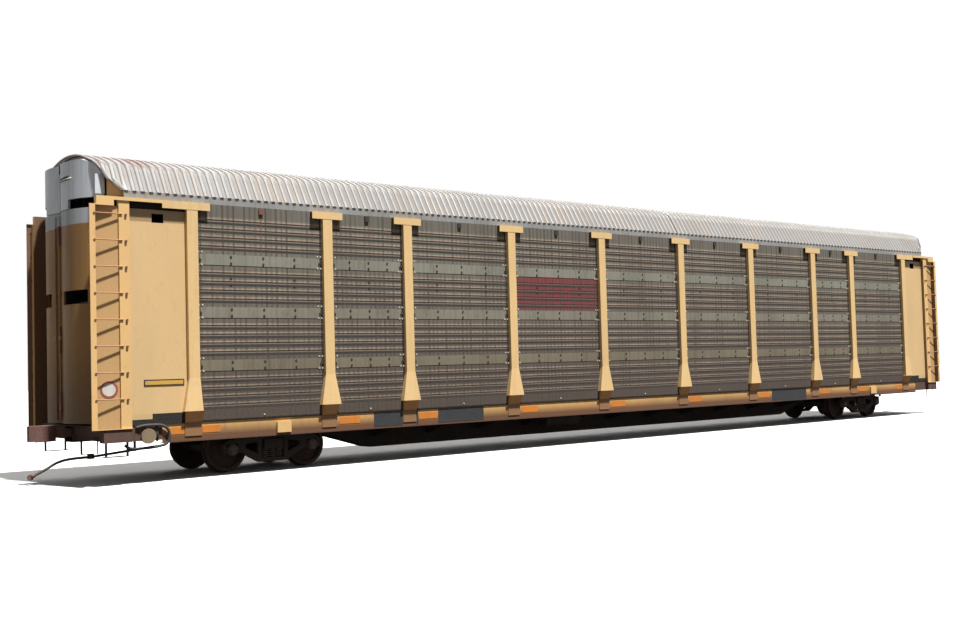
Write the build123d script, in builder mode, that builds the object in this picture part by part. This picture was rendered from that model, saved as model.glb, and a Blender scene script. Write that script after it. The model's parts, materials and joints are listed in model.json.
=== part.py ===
from build123d import *
from math import asin, cos, degrees, radians, sin, sqrt
import os

# Two-level enclosed railway car for carrying motor cars, at full size.
# Millimetres. X runs along the car, Y across it, Z up.
# The origin is under the middle of the car at the height of the flange tips.

# Rack bays set the length of the whole car
WIDE_BAY = 2850.0
NARROW_BAY = 1935.0
BAYS = (WIDE_BAY, NARROW_BAY, WIDE_BAY, WIDE_BAY, WIDE_BAY, WIDE_BAY, WIDE_BAY, NARROW_BAY, WIDE_BAY)
RACK_HALF = sum(BAYS) / 2
STRIKER_X = RACK_HALF + 1704.0

# Running gear
FLANGE_HEIGHT = 25.4
WHEEL_RADIUS = 419.0
WHEEL_BACK_TO_BACK = 1348.0
RIM_WIDTH = 140.0
RIM_THICKNESS = 62.0
WHEEL_WEB = 26.0
HUB_RADIUS = 135.0
AXLE_RADIUS = 82.0
BEARING_RADIUS = 105.0
BEARING_LENGTH = 180.0
BEARING_CAP = 30.0
JOURNAL_SPREAD = 2006.0
WHEELBASE = 1727.0
TRUCK_X = RACK_HALF - 1851.5
RAIL = FLANGE_HEIGHT
AXLE_Z = RAIL + WHEEL_RADIUS

# Flat car
DECK_Z = RAIL + 1000.0
DECK_PLATE = 12.0
DECK_HALF = STRIKER_X - 14.0
SILL_FACE_Y = 1500.0
SILL_BOTTOM_Z = RAIL + 660.0
SILL_TOP_Z = RAIL + 990.0
SILL_FLANGE = 90.0
SILL_WALL = 12.0
SILL_HALF = RACK_HALF + 590.0
BELLY_Z = RAIL + 200.0
BELLY_HALF = TRUCK_X - 2818.5
BELLY_RISE = 1750.0
CENTRE_SILL_BOTTOM_Z = RAIL + 700.0
CENTRE_SILL_WIDTH = 400.0
CENTRE_SILL_WALL = 12.0
BEARER_DEPTH = 190.0
BEARER_WIDTH = 110.0
BEARER_PITCH = 1425.0
BOLSTER_WIDTH = 420.0
CENTRE_PLATE_Z = RAIL + 655.0
CENTRE_PLATE_RADIUS = 178.0

# Rack posts and side panels
POST_FACE_Y = 1600.0
POST_WIDTH = 210.0
POST_WALL = 8.0
PANEL_FACE_Y = 1520.0
PANEL_THICKNESS = 18.0
PANEL_BOTTOM_Z = RAIL + 1012.0
EAVE_BOTTOM_Z = RAIL + 4965.0
EAVE_TOP_Z = RAIL + 5100.0
FLARE_TOP_Z = RAIL + 1790.0
FLARE_BOTTOM_Z = RAIL + 1200.0
FLARE_WIDTH = 430.0
END_FLARE_CUT = 70.0
FLARE_OUT = 28.0
FOOT_WIDTH = 330.0
FOOT_BOTTOM_Z = RAIL + 755.0
FOOT_PLATE = 15.0
CAP_WIDTH = 690.0
CAP_HEIGHT = 140.0
CAP_PLATE = 12.0
LAP_HEIGHT = 200.0
LAP_PROUD = 6.0
SHEET_PITCH = 970.0
FIRST_LAP_Z = RAIL + 2009.0
GROOVE_PITCH = 160.0
GROOVE_HEIGHT = 34.0
GROOVE_DEPTH = 10.0

# Roof
EAVE_Y = 1506.0
ROOF_PEAK_Z = RAIL + 5880.0
CROWN_RADIUS = 2700.0
CROWN_ANGLE = 24.0
HAUNCH_RADIUS = 350.0
HAUNCH_ANGLE = 60.0
ROOF_SHEET = 20.0
ROOF_END_RADIUS = 600.0
ROOF_END_X = STRIKER_X - 614.0
ROOF_END_Y = 921.0
ROOF_JOINT_X = 1474.0
ROOF_STRAP = 60.0
RIB_PITCH = 152.4
RIB_WIDTH = 72.0
RIB_HEIGHT = 22.0
ROOF_FLOOR_Z = EAVE_BOTTOM_Z - 100.0

# End doors: each leaf is part of a drum about its own upright pivot
DOOR_PIVOT_X = STRIKER_X - 915.0
DOOR_PIVOT_Y = 400.0
DOOR_RADIUS = 1090.0
DOOR_THICKNESS = 45.0
DOOR_TAIL_ANGLE = 66.0
DOOR_GAP = 8.0
DOOR_BOTTOM_Z = RAIL + 1045.0
DOOR_TOP_Z = RAIL + 4835.0
DOOR_SLOT_Z = (RAIL + 3149.0, RAIL + 3393.0)
DOOR_SLOT_Y = (310.0, 1000.0)
DOOR_TRAVEL = 70.0
ARM_THICKNESS = 30.0
ARM_WIDTH = 130.0
ARM_HUB_RADIUS = 75.0
PIN_RADIUS = 25.0
PIN_GAP = 0.3
CLOSURE_BOTTOM_Z = RAIL + 5012.0
CLOSURE_END_ANGLE = 50.0
CLOSURE_TOP_Z = RAIL + 5700.0
CLOSURE_CAP = 12.0
CLOSURE_CAP_Y = 975.0
CLOSURE_BACK_X = STRIKER_X - 114.0
RETURN_X = (STRIKER_X - 235.0, STRIKER_X - 64.0)
RETURN_Y = 1225.0
RETURN_PLATE = 14.0
RETURN_Z = (RAIL + 5055.0, RAIL + 5400.0)
GABLE_ANGLES = (53.0, 74.0)
TAB_HALF_WIDTH = 550.0
TAB_GAP = 12.0

# Corner ladder, its post and the header above
LADDER_FACE_Y = 1620.0
STILE_X = (STRIKER_X + 86.0, STRIKER_X + 186.0)
CORNER_POST_X = (STRIKER_X - 527.0, STRIKER_X - 334.0)
RUNG_RADIUS = 11.0
RUNG_SIDES = 8
RUNG_TOP_Z = RAIL + 4668.0
RUNG_PITCH = 457.7
RUNG_COUNT = 8
LADDER_BOTTOM_Z = RAIL + 948.0
BACK_PLATE_Y = (1567.0, 1504.0)
BACK_PLATE = 8.0
HEADER_END_X = STRIKER_X + 64.0
HEADER_BLOCK = 310.0
END_CAP_IN = 347.0
END_CAP_OUT = 572.0
HEADER_DEEP_Z = RAIL + 4804.0
HEADER_THIN_Z = RAIL + 4905.0
POCKET_BOTTOM_Z = RAIL + 1185.0
POCKET_TOP_Z = RAIL + 4790.0
POCKET_APRON_X = STRIKER_X - 930.0
POCKET_HOLE_X = (STRIKER_X - 1184.0, STRIKER_X - 964.0)
POCKET_HOLE_Z = (RAIL + 4560.0, RAIL + 4720.0)

# Upper deck
DECK_B_Z = RAIL + 3200.0
DECK_B_PLATE = 14.0
DECK_B_EDGE = 110.0
DECK_B_HALF_WIDTH = 1440.0
DECK_B_BRACKET = 180.0

# Couplers
COUPLER_Z = RAIL + 876.0
COUPLER_PIN_X = STRIKER_X - 714.0
COUPLER_PIN_RADIUS = 40.0
SHANK_WIDTH = 140.0
SHANK_HEIGHT = 150.0
COUPLER_HEAD_X = STRIKER_X + 266.0
COUPLER_FACE_X = STRIKER_X + 696.0

SIDES = (-1, 1)
ENDS = (-1, 1)

os.makedirs("parts", exist_ok=True)


def save(piece, label):
    """Label one finished sub-part and write it."""
    piece.label = label
    export_step(piece, "parts/" + label + ".step")


def post_stations():
    """Give the X of each rack post, from one end to the other."""
    stations = [-sum(BAYS) / 2]
    for bay in BAYS:
        stations.append(stations[-1] + bay)
    return stations


POSTS = post_stations()


def box(x0, x1, y0, y1, z0, z1, mode=Mode.ADD):
    """Add one block given by its two corners."""
    size = (abs(x1 - x0), abs(y1 - y0), abs(z1 - z0))
    with Locations(((x0 + x1) / 2, (y0 + y1) / 2, (z0 + z1) / 2)):
        return Box(*size, mode=mode)


def rod(start, end, radius, sides=0):
    """Add one straight bar between two points, round or with flat sides."""
    direction = Vector(*end) - Vector(*start)
    with BuildPart(mode=Mode.PRIVATE) as bar:
        with BuildSketch(Plane(origin=start, z_dir=direction)):
            if sides:
                RegularPolygon(radius, sides, rotation=180 / sides)
            else:
                Circle(radius)
        extrude(amount=direction.length)
    add(bar.part)


# Roof section: a flat crown arc, a tighter haunch arc and a steep straight to the eave


CROWN_STEPS = 3
HAUNCH_STEPS = 2


def roof_section(inset):
    """Give the section's points on the +Y side, peak to eave, for a surface inset from the outside."""
    centre_z = ROOF_PEAK_Z - CROWN_RADIUS
    knee = radians(CROWN_ANGLE)
    steep = radians(HAUNCH_ANGLE)
    haunch_y = (CROWN_RADIUS - HAUNCH_RADIUS) * sin(knee)
    haunch_z = centre_z + (CROWN_RADIUS - HAUNCH_RADIUS) * cos(knee)
    points = []
    for step in range(CROWN_STEPS + 1):
        angle = knee * step / CROWN_STEPS
        radius = CROWN_RADIUS - inset
        points.append((radius * sin(angle), centre_z + radius * cos(angle)))
    for step in range(1, HAUNCH_STEPS + 1):
        angle = knee + (steep - knee) * step / HAUNCH_STEPS
        radius = HAUNCH_RADIUS - inset
        points.append((haunch_y + radius * sin(angle), haunch_z + radius * cos(angle)))
    eave_y = EAVE_Y - inset
    last_y, last_z = points[-1]
    points.append((eave_y, last_z - (eave_y - last_y) * sin(steep) / cos(steep)))
    return points


def under_roof(x0, x1, floor_z, inset):
    """Give the whole space under the roof sheet between two stations."""
    right = roof_section(inset)
    left = [(-y, z) for y, z in reversed(right)]
    edge = right[-1][0]
    with BuildPart() as space:
        with BuildSketch(Plane.YZ.offset(x0)):
            with BuildLine():
                Polyline(*left, *right[1:], (edge, floor_z), (-edge, floor_z), close=True)
            make_face()
        extrude(amount=x1 - x0)
    return space.part


def roof_plan(height_z, radius, centre_x, centre_y):
    """Give the keep-region of the roof in plan: its ends are two arcs that meet on the centre line."""
    with BuildPart() as region:
        with BuildSketch(Plane.XY.offset(height_z)):
            Rectangle(2 * centre_x, 2 * (centre_y + radius))
            with Locations(*[(e * centre_x, s * centre_y) for e in ENDS for s in SIDES]):
                Circle(radius)
        extrude(amount=1600)
    return region.part


# Wheelsets


def wheel_profile(sign):
    """Draw half of one wheel's section, from the hub bore out to the flange."""
    inner = WHEEL_BACK_TO_BACK / 2
    outer = inner + RIM_WIDTH
    tread = WHEEL_RADIUS
    rim = WHEEL_RADIUS - RIM_THICKNESS
    plate = inner + 0.6 * RIM_WIDTH
    points = [
        (inner - 12, AXLE_RADIUS),
        (inner - 12, HUB_RADIUS),
        (plate - WHEEL_WEB, HUB_RADIUS + 30),
        (inner, rim),
        (inner, tread + FLANGE_HEIGHT),
        (inner + 18, tread + FLANGE_HEIGHT),
        (inner + 34, tread + 4),
        (outer, tread - 4),
        (outer, rim),
        (inner + 2 * WHEEL_WEB, rim - 20),
        (plate + WHEEL_WEB, HUB_RADIUS + 30),
        (outer + 20, HUB_RADIUS),
        (outer + 20, AXLE_RADIUS),
    ]
    Polyline(*[(sign * y, r) for y, r in points], close=True)


def wheel_pair(x):
    """Build both wheels of one axle."""
    with BuildPart() as pair:
        for sign in SIDES:
            with BuildSketch(Plane(origin=(x, 0, AXLE_Z), x_dir=(0, 1, 0), z_dir=(1, 0, 0))):
                with BuildLine():
                    wheel_profile(sign)
                make_face()
            revolve(axis=Axis((x, 0, AXLE_Z), (0, 1, 0)))
    return pair.part


def axle(x):
    """Build one axle with the roller bearings on its two ends."""
    seat = JOURNAL_SPREAD / 2 - BEARING_LENGTH / 2
    end = JOURNAL_SPREAD / 2 + BEARING_LENGTH / 2
    cap = end + BEARING_CAP
    with BuildPart() as bar:
        with BuildSketch(Plane(origin=(x, 0, AXLE_Z), x_dir=(0, 1, 0), z_dir=(1, 0, 0))):
            with BuildLine():
                Polyline(
                    (-cap, 0), (-cap, AXLE_RADIUS), (-end, AXLE_RADIUS), (-end, BEARING_RADIUS),
                    (-seat, BEARING_RADIUS), (-seat, AXLE_RADIUS), (seat, AXLE_RADIUS),
                    (seat, BEARING_RADIUS), (end, BEARING_RADIUS), (end, AXLE_RADIUS), (cap, AXLE_RADIUS),
                    (cap, 0), close=True,
                )
            make_face()
        revolve(axis=Axis((x, 0, AXLE_Z), (0, 1, 0)))
    return bar.part


AXLES = [e * TRUCK_X + d * WHEELBASE / 2 for e in ENDS for d in ENDS]
for number, station in enumerate(AXLES, start=1):
    save(wheel_pair(station), "wheels_%d" % number)
    save(axle(station), "axle_%d" % number)

# Trucks

FRAME_Y = JOURNAL_SPREAD / 2
FRAME_THICKNESS = 120.0
FRAME_TOP_Z = AXLE_Z + 235.0
FRAME_BOTTOM_Z = RAIL + 150.0
JAW_HALF = 112.0
RUNNING_GAP = 0.3
WINDOW_HALF = 240.0
BOLSTER_TRUCK_DEPTH = 190.0
BOLSTER_TRUCK_WIDTH = 400.0
SPRING_RADIUS = 68.0


def side_frame(x, side):
    """Build one cast side frame with two pedestal jaws, a spring window and two lightening holes."""
    reach = WHEELBASE / 2
    base = AXLE_Z + BEARING_RADIUS + RUNNING_GAP
    with BuildPart() as frame:
        with BuildSketch(Plane(origin=(x, side * FRAME_Y, 0), x_dir=(1, 0, 0), z_dir=(0, -1, 0))):
            with BuildLine():
                Polyline(
                    (-reach - 190, AXLE_Z - 60), (-reach - 190, AXLE_Z + 100), (-reach - 90, AXLE_Z + 175),
                    (-330, FRAME_TOP_Z), (330, FRAME_TOP_Z), (reach + 90, AXLE_Z + 175),
                    (reach + 190, AXLE_Z + 100), (reach + 190, AXLE_Z - 60), (reach + JAW_HALF, AXLE_Z - 60),
                    (reach + JAW_HALF, base), (reach - JAW_HALF, base), (reach - JAW_HALF, AXLE_Z - 60),
                    (reach - 210, AXLE_Z - 75), (300, FRAME_BOTTOM_Z), (-300, FRAME_BOTTOM_Z),
                    (-reach + 210, AXLE_Z - 75), (-reach + JAW_HALF, AXLE_Z - 60),
                    (-reach + JAW_HALF, base), (-reach - JAW_HALF, base), (-reach - JAW_HALF, AXLE_Z - 60),
                    close=True,
                )
            make_face()
            with Locations((0, (FRAME_TOP_Z - 75 + FRAME_BOTTOM_Z + 65) / 2)):
                Rectangle(2 * WINDOW_HALF, FRAME_TOP_Z - 75 - FRAME_BOTTOM_Z - 65, mode=Mode.SUBTRACT)
            for end in ENDS:
                with BuildLine():
                    Polyline(
                        (end * 320, AXLE_Z + 120), (end * 560, AXLE_Z + 95), (end * 600, AXLE_Z + 20),
                        (end * 320, AXLE_Z - 110), close=True,
                    )
                make_face(mode=Mode.SUBTRACT)
        extrude(amount=FRAME_THICKNESS / 2, both=True)
    return frame.part


def truck_bolster(x):
    """Build the bolster that spans both frames, with the bowl that the car stands on."""
    top = CENTRE_PLATE_Z - RUNNING_GAP
    half = FRAME_Y + FRAME_THICKNESS / 2 + 40
    with BuildPart() as beam:
        with BuildSketch(Plane.YZ.offset(x - BOLSTER_TRUCK_WIDTH / 2)):
            with BuildLine():
                Polyline(
                    (-half, FRAME_TOP_Z - 75), (-half, FRAME_TOP_Z - 255), (-850, FRAME_TOP_Z - 255),
                    (-600, FRAME_TOP_Z - 300), (600, FRAME_TOP_Z - 300), (850, FRAME_TOP_Z - 255),
                    (half, FRAME_TOP_Z - 255), (half, FRAME_TOP_Z - 75),
                    (600, FRAME_TOP_Z - 80), (-600, FRAME_TOP_Z - 80), close=True,
                )
            make_face()
        extrude(amount=BOLSTER_TRUCK_WIDTH)
        with Locations((x, 0, (FRAME_TOP_Z - 80 + top) / 2)):
            Cylinder(CENTRE_PLATE_RADIUS + 22, top - FRAME_TOP_Z + 80)
    return beam.part


def spring_nest(x):
    """Build the springs that stand in both frames' windows."""
    floor = FRAME_BOTTOM_Z + 65
    head = FRAME_TOP_Z - 255
    with BuildPart() as nest:
        for side in SIDES:
            for dx in (-150, 0, 150):
                with Locations((x + dx, side * FRAME_Y, (floor + head) / 2)):
                    Cylinder(SPRING_RADIUS, head - floor)
    return nest.part


for number, end in enumerate(ENDS, start=1):
    station = end * TRUCK_X
    frames = Compound(children=[side_frame(station, side) for side in SIDES])
    save(frames, "side_frames_%d" % number)
    save(truck_bolster(station), "truck_bolster_%d" % number)
    save(spring_nest(station), "springs_%d" % number)

# Flat car frame


SPLICE_X = BELLY_HALF + BELLY_RISE


def belly_outline(wall):
    """Draw the deep middle sill's side view, set in by a wall."""
    top = DECK_Z - DECK_PLATE - wall
    low = CENTRE_SILL_BOTTOM_Z
    reach = SPLICE_X - wall
    Polyline(
        (-reach, top), (-reach, low), (-BELLY_HALF, BELLY_Z + wall), (BELLY_HALF, BELLY_Z + wall),
        (reach, low), (reach, top), close=True,
    )


with BuildPart() as centre_sill:
    with BuildSketch(Plane.XZ):
        with BuildLine():
            belly_outline(0)
        make_face()
    extrude(amount=CENTRE_SILL_WIDTH / 2, both=True)
    with BuildSketch(Plane.XZ):
        with BuildLine():
            belly_outline(CENTRE_SILL_WALL)
        make_face()
    extrude(amount=CENTRE_SILL_WIDTH / 2 - CENTRE_SILL_WALL, both=True, mode=Mode.SUBTRACT)
save(centre_sill.part, "centre_sill")

with BuildPart() as draft_sills:
    half = CENTRE_SILL_WIDTH / 2
    wall = CENTRE_SILL_WALL
    top = DECK_Z - DECK_PLATE
    for end in ENDS:
        box(end * SPLICE_X, end * STRIKER_X, -half, half, CENTRE_SILL_BOTTOM_Z, top)
        box(end * (SPLICE_X + wall), end * (STRIKER_X + wall), wall - half, half - wall,
            CENTRE_SILL_BOTTOM_Z + wall, top - wall, mode=Mode.SUBTRACT)
        with Locations((end * COUPLER_PIN_X, 0, (CENTRE_SILL_BOTTOM_Z + top) / 2)):
            Cylinder(COUPLER_PIN_RADIUS, top - CENTRE_SILL_BOTTOM_Z - wall)
save(draft_sills.part, "draft_sills")


def side_sill(side):
    """Build one channel-shaped side sill."""
    face = side * SILL_FACE_Y
    half = SILL_HALF
    with BuildPart() as sill:
        box(-half, half, face, face - side * SILL_FLANGE, SILL_BOTTOM_Z, SILL_TOP_Z)
        box(-half, half, face - side * SILL_WALL, face - side * SILL_FLANGE,
            SILL_BOTTOM_Z + SILL_WALL, SILL_TOP_Z - SILL_WALL, mode=Mode.SUBTRACT)
    return sill.part


save(side_sill(-1), "side_sill_near")
save(side_sill(1), "side_sill_far")

with BuildPart() as deck_a:
    box(-DECK_HALF, DECK_HALF, -SILL_FACE_Y + SILL_WALL + 2, SILL_FACE_Y - SILL_WALL - 2,
        SILL_TOP_Z, DECK_Z)
    with Locations(*[(e * DOOR_PIVOT_X, s * DOOR_PIVOT_Y, DECK_Z + 10) for e in ENDS for s in SIDES]):
        Cylinder(ARM_HUB_RADIUS, 20)
    with Locations(*[(e * DOOR_PIVOT_X, s * DOOR_PIVOT_Y, DECK_Z + 40) for e in ENDS for s in SIDES]):
        Cylinder(PIN_RADIUS, 80)
save(deck_a.part, "deck_lower")


def bearer_stations():
    """Give the stations of the floor bearers that stand clear of the trucks."""
    count = int(BELLY_HALF // BEARER_PITCH)
    return [n * BEARER_PITCH for n in range(-count, count + 1)]


with BuildPart() as bearers:
    for x in bearer_stations():
        for side in SIDES:
            inner = CENTRE_SILL_WIDTH / 2
            outer = SILL_FACE_Y - SILL_WALL
            top = SILL_TOP_Z - SILL_WALL
            with BuildSketch(Plane.YZ.offset(x - BEARER_WIDTH / 2)):
                with BuildLine():
                    Polyline(
                        (side * inner, top), (side * outer, top), (side * outer, SILL_BOTTOM_Z + SILL_WALL),
                        (side * (outer - 200), SILL_BOTTOM_Z + SILL_WALL),
                        (side * inner, SILL_TOP_Z - 3 * BEARER_DEPTH), close=True,
                    )
                make_face()
            extrude(amount=BEARER_WIDTH)
save(bearers.part, "floor_bearers")

with BuildPart() as body_bolsters:
    for end in ENDS:
        x = end * TRUCK_X
        for side in SIDES:
            box(x - BOLSTER_WIDTH / 2, x + BOLSTER_WIDTH / 2, side * CENTRE_SILL_WIDTH / 2,
                side * (SILL_FACE_Y - SILL_WALL), SILL_TOP_Z - SILL_WALL, RAIL + 800)
save(body_bolsters.part, "body_bolsters")

with BuildPart() as centre_plates:
    with Locations(*[(e * TRUCK_X, 0, (CENTRE_PLATE_Z + CENTRE_SILL_BOTTOM_Z) / 2) for e in ENDS]):
        Cylinder(CENTRE_PLATE_RADIUS, CENTRE_SILL_BOTTOM_Z - CENTRE_PLATE_Z)
save(centre_plates.part, "centre_plates")

BRACE_X = (STRIKER_X - 1114.0, STRIKER_X - 974.0)
CORNER_X = (STRIKER_X - 524.0, STRIKER_X - 24.0)

with BuildPart() as end_frames:
    for end in ENDS:
        for side in SIDES:
            inner = side * CENTRE_SILL_WIDTH / 2
            outer = side * (SILL_FACE_Y + 10)
            low = SILL_BOTTOM_Z + 60
            box(end * BRACE_X[0], end * BRACE_X[1], inner, outer, low, SILL_TOP_Z)
            box(end * (STRIKER_X - 90), end * CORNER_X[1], inner, outer, low + 30, SILL_TOP_Z)
            box(end * BRACE_X[1], end * CORNER_X[1], outer - side * 110, outer, low, SILL_TOP_Z)
            box(end * CORNER_X[0], end * CORNER_X[1], outer, side * POST_FACE_Y, low, LADDER_BOTTOM_Z)
save(end_frames.part, "end_frames")

# Rack sides


def cap_edges(x):
    """Give the X of both edges of a post's cap: the end posts' caps run out into the headers."""
    if x == POSTS[0]:
        return x - END_CAP_OUT, x + END_CAP_IN
    if x == POSTS[-1]:
        return x - END_CAP_IN, x + END_CAP_OUT
    return x - CAP_WIDTH / 2, x + CAP_WIDTH / 2


def flare_edges(x):
    """Give the X of both edges of a post's flare: the end posts flare less towards the middle of the car."""
    low = x - FLARE_WIDTH / 2
    high = x + FLARE_WIDTH / 2
    if x == POSTS[0]:
        return low, high - END_FLARE_CUT
    if x == POSTS[-1]:
        return low + END_FLARE_CUT, high
    return low, high


def post(x, side):
    """Build one rack post: a hollow hat section, its flared foot, its sill bracket and its cap."""
    cap = cap_edges(x)
    flare = flare_edges(x)
    flare_middle = (flare[0] + flare[1]) / 2
    back = PANEL_FACE_Y
    depth = POST_FACE_Y - back
    cap_bottom = EAVE_BOTTOM_Z - CAP_HEIGHT
    with BuildPart() as column:
        box(x - POST_WIDTH / 2, x + POST_WIDTH / 2, side * back, side * POST_FACE_Y, FLARE_TOP_Z, cap_bottom)
        box(x - POST_WIDTH / 2 + POST_WALL, x + POST_WIDTH / 2 - POST_WALL, side * back,
            side * (POST_FACE_Y - POST_WALL), FLARE_TOP_Z, cap_bottom, mode=Mode.SUBTRACT)
        with BuildSketch(Plane(origin=(x, side * (back + depth / 2), FLARE_TOP_Z))):
            Rectangle(POST_WIDTH, depth)
        with BuildSketch(Plane(origin=(flare_middle, side * (back + (depth + FLARE_OUT) / 2), FLARE_BOTTOM_Z))):
            Rectangle(flare[1] - flare[0], depth + FLARE_OUT)
        loft()
        lip = POST_FACE_Y + FLARE_OUT
        with BuildSketch(Plane.YZ.offset(x - FOOT_WIDTH / 2)):
            with BuildLine():
                Polyline(
                    (side * back, FLARE_BOTTOM_Z), (side * lip, FLARE_BOTTOM_Z),
                    (side * (PANEL_FACE_Y + 12), PANEL_BOTTOM_Z - 15),
                    (side * (SILL_FACE_Y + FOOT_PLATE), PANEL_BOTTOM_Z - 30),
                    (side * (SILL_FACE_Y + FOOT_PLATE), FOOT_BOTTOM_Z), (side * SILL_FACE_Y, FOOT_BOTTOM_Z),
                    (side * SILL_FACE_Y, PANEL_BOTTOM_Z - 4), (side * back, PANEL_BOTTOM_Z - 4), close=True,
                )
            make_face()
        extrude(amount=FOOT_WIDTH)
        box(cap[0], cap[1], side * (POST_FACE_Y - POST_WALL),
            side * (POST_FACE_Y + CAP_PLATE - POST_WALL), cap_bottom, EAVE_BOTTOM_Z)
        box(cap[0], cap[1], side * back, side * (POST_FACE_Y - POST_WALL),
            EAVE_BOTTOM_Z - CAP_PLATE, EAVE_BOTTOM_Z)
        box(x - POST_WIDTH / 2, x + POST_WIDTH / 2, side * back, side * (POST_FACE_Y - POST_WALL),
            cap_bottom, EAVE_BOTTOM_Z - CAP_PLATE)
    return column.part


def panel_outline(side):
    """Draw a side panel's section: four grooved sheets whose laps stand proud."""
    face = side * PANEL_FACE_Y
    back = side * (PANEL_FACE_Y - PANEL_THICKNESS)
    cut = side * (PANEL_FACE_Y - GROOVE_DEPTH)
    lap = side * (PANEL_FACE_Y + LAP_PROUD)
    points = [(back, PANEL_BOTTOM_Z), (face, PANEL_BOTTOM_Z)]
    for sheet in range(4):
        middle = FIRST_LAP_Z - SHEET_PITCH / 2 + sheet * SHEET_PITCH
        for groove in range(4):
            z = middle + (groove - 1.5) * GROOVE_PITCH
            points += [(face, z - GROOVE_HEIGHT / 2), (cut, z - GROOVE_HEIGHT / 4)]
            points += [(cut, z + GROOVE_HEIGHT / 4), (face, z + GROOVE_HEIGHT / 2)]
        if sheet < 3:
            z = middle + SHEET_PITCH / 2
            points += [(face, z - LAP_HEIGHT / 2), (lap, z - LAP_HEIGHT / 2)]
            points += [(lap, z + LAP_HEIGHT / 2), (face, z + LAP_HEIGHT / 2)]
    points += [(face, EAVE_BOTTOM_Z), (back, EAVE_BOTTOM_Z)]
    Polyline(*points, close=True)


def bay_panel(x0, x1, side):
    """Build the grooved panel of one bay, from post middle to post middle."""
    edge = FOOT_WIDTH / 2 + 1
    with BuildPart() as panel:
        with BuildSketch(Plane.YZ.offset(x0 + 1)):
            with BuildLine():
                panel_outline(side)
            make_face()
        extrude(amount=x1 - x0 - 2)
        for x in (x0, x1):
            box(x - edge, x + edge, side * (PANEL_FACE_Y + LAP_PROUD), side * PANEL_FACE_Y,
                PANEL_BOTTOM_Z, EAVE_BOTTOM_Z, mode=Mode.SUBTRACT)
    return panel.part


for side, name in ((-1, "near"), (1, "far")):
    posts = Compound(children=[post(x, side) for x in POSTS])
    save(posts, "posts_" + name)
    panels = Compound(children=[bay_panel(a, b, side) for a, b in zip(POSTS, POSTS[1:])])
    save(panels, "panels_" + name)

APRON_DEPTH = 12.0

with BuildPart() as pocket_panels:
    for end in ENDS:
        for side in SIDES:
            face = side * PANEL_FACE_Y
            back = side * (PANEL_FACE_Y - PANEL_THICKNESS)
            outer = CORNER_POST_X[1] - 20
            box(end * (RACK_HALF + 1), end * outer, face, back, POCKET_BOTTOM_Z, POCKET_TOP_Z)
            box(end * POCKET_HOLE_X[0], end * POCKET_HOLE_X[1], face, back,
                POCKET_HOLE_Z[0], POCKET_HOLE_Z[1], mode=Mode.SUBTRACT)
            with BuildSketch(Plane.YZ.offset(min(end * POCKET_APRON_X, end * outer))):
                with BuildLine():
                    Polyline((face, POCKET_BOTTOM_Z), (face - side * APRON_DEPTH / 2, DECK_Z + 1),
                             (back - side * APRON_DEPTH / 2, DECK_Z + 1), (back, POCKET_BOTTOM_Z), close=True)
                make_face()
            extrude(amount=outer - POCKET_APRON_X)
save(pocket_panels.part, "pocket_panels")

with BuildPart() as corner_posts:
    for end in ENDS:
        for side in SIDES:
            back = side * PANEL_FACE_Y
            box(end * CORNER_POST_X[0], end * CORNER_POST_X[1], back, side * POST_FACE_Y,
                LADDER_BOTTOM_Z, HEADER_DEEP_Z)
            box(end * (CORNER_POST_X[0] + POST_WALL), end * (CORNER_POST_X[1] - POST_WALL),
                back, side * (POST_FACE_Y - POST_WALL), LADDER_BOTTOM_Z + POST_WALL, HEADER_DEEP_Z,
                mode=Mode.SUBTRACT)
save(corner_posts.part, "corner_posts")

with BuildPart() as ladders:
    for end in ENDS:
        for side in SIDES:
            y0 = side * POST_FACE_Y
            y1 = side * LADDER_FACE_Y
            box(end * STILE_X[0], end * STILE_X[1], y0, y1, LADDER_BOTTOM_Z, HEADER_DEEP_Z)
            box(end * STILE_X[0], end * (STILE_X[0] + 12), y0, side * (BACK_PLATE_Y[1] - BACK_PLATE),
                LADDER_BOTTOM_Z, HEADER_DEEP_Z)
            box(end * CORNER_POST_X[0], end * STILE_X[0], y0, y1, LADDER_BOTTOM_Z, LADDER_BOTTOM_Z + 14)
            with BuildSketch(Plane.XY.offset(LADDER_BOTTOM_Z)):
                with BuildLine():
                    Polyline(
                        (end * CORNER_POST_X[1], side * BACK_PLATE_Y[0]),
                        (end * STILE_X[0], side * BACK_PLATE_Y[1]),
                        (end * STILE_X[0], side * (BACK_PLATE_Y[1] - BACK_PLATE)),
                        (end * CORNER_POST_X[1], side * (BACK_PLATE_Y[0] - BACK_PLATE)),
                        close=True,
                    )
                make_face()
            extrude(amount=HEADER_DEEP_Z - LADDER_BOTTOM_Z)
save(ladders.part, "ladders")

with BuildPart() as rungs:
    for end in ENDS:
        for side in SIDES:
            for n in range(RUNG_COUNT):
                y = side * (POST_FACE_Y + RUNG_RADIUS * cos(radians(180 / RUNG_SIDES)))
                z = RUNG_TOP_Z - n * RUNG_PITCH
                rod((end * (CORNER_POST_X[1] - 60), y, z), (end * STILE_X[0], y, z), RUNG_RADIUS, RUNG_SIDES)
save(rungs.part, "ladder_rungs")

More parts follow.
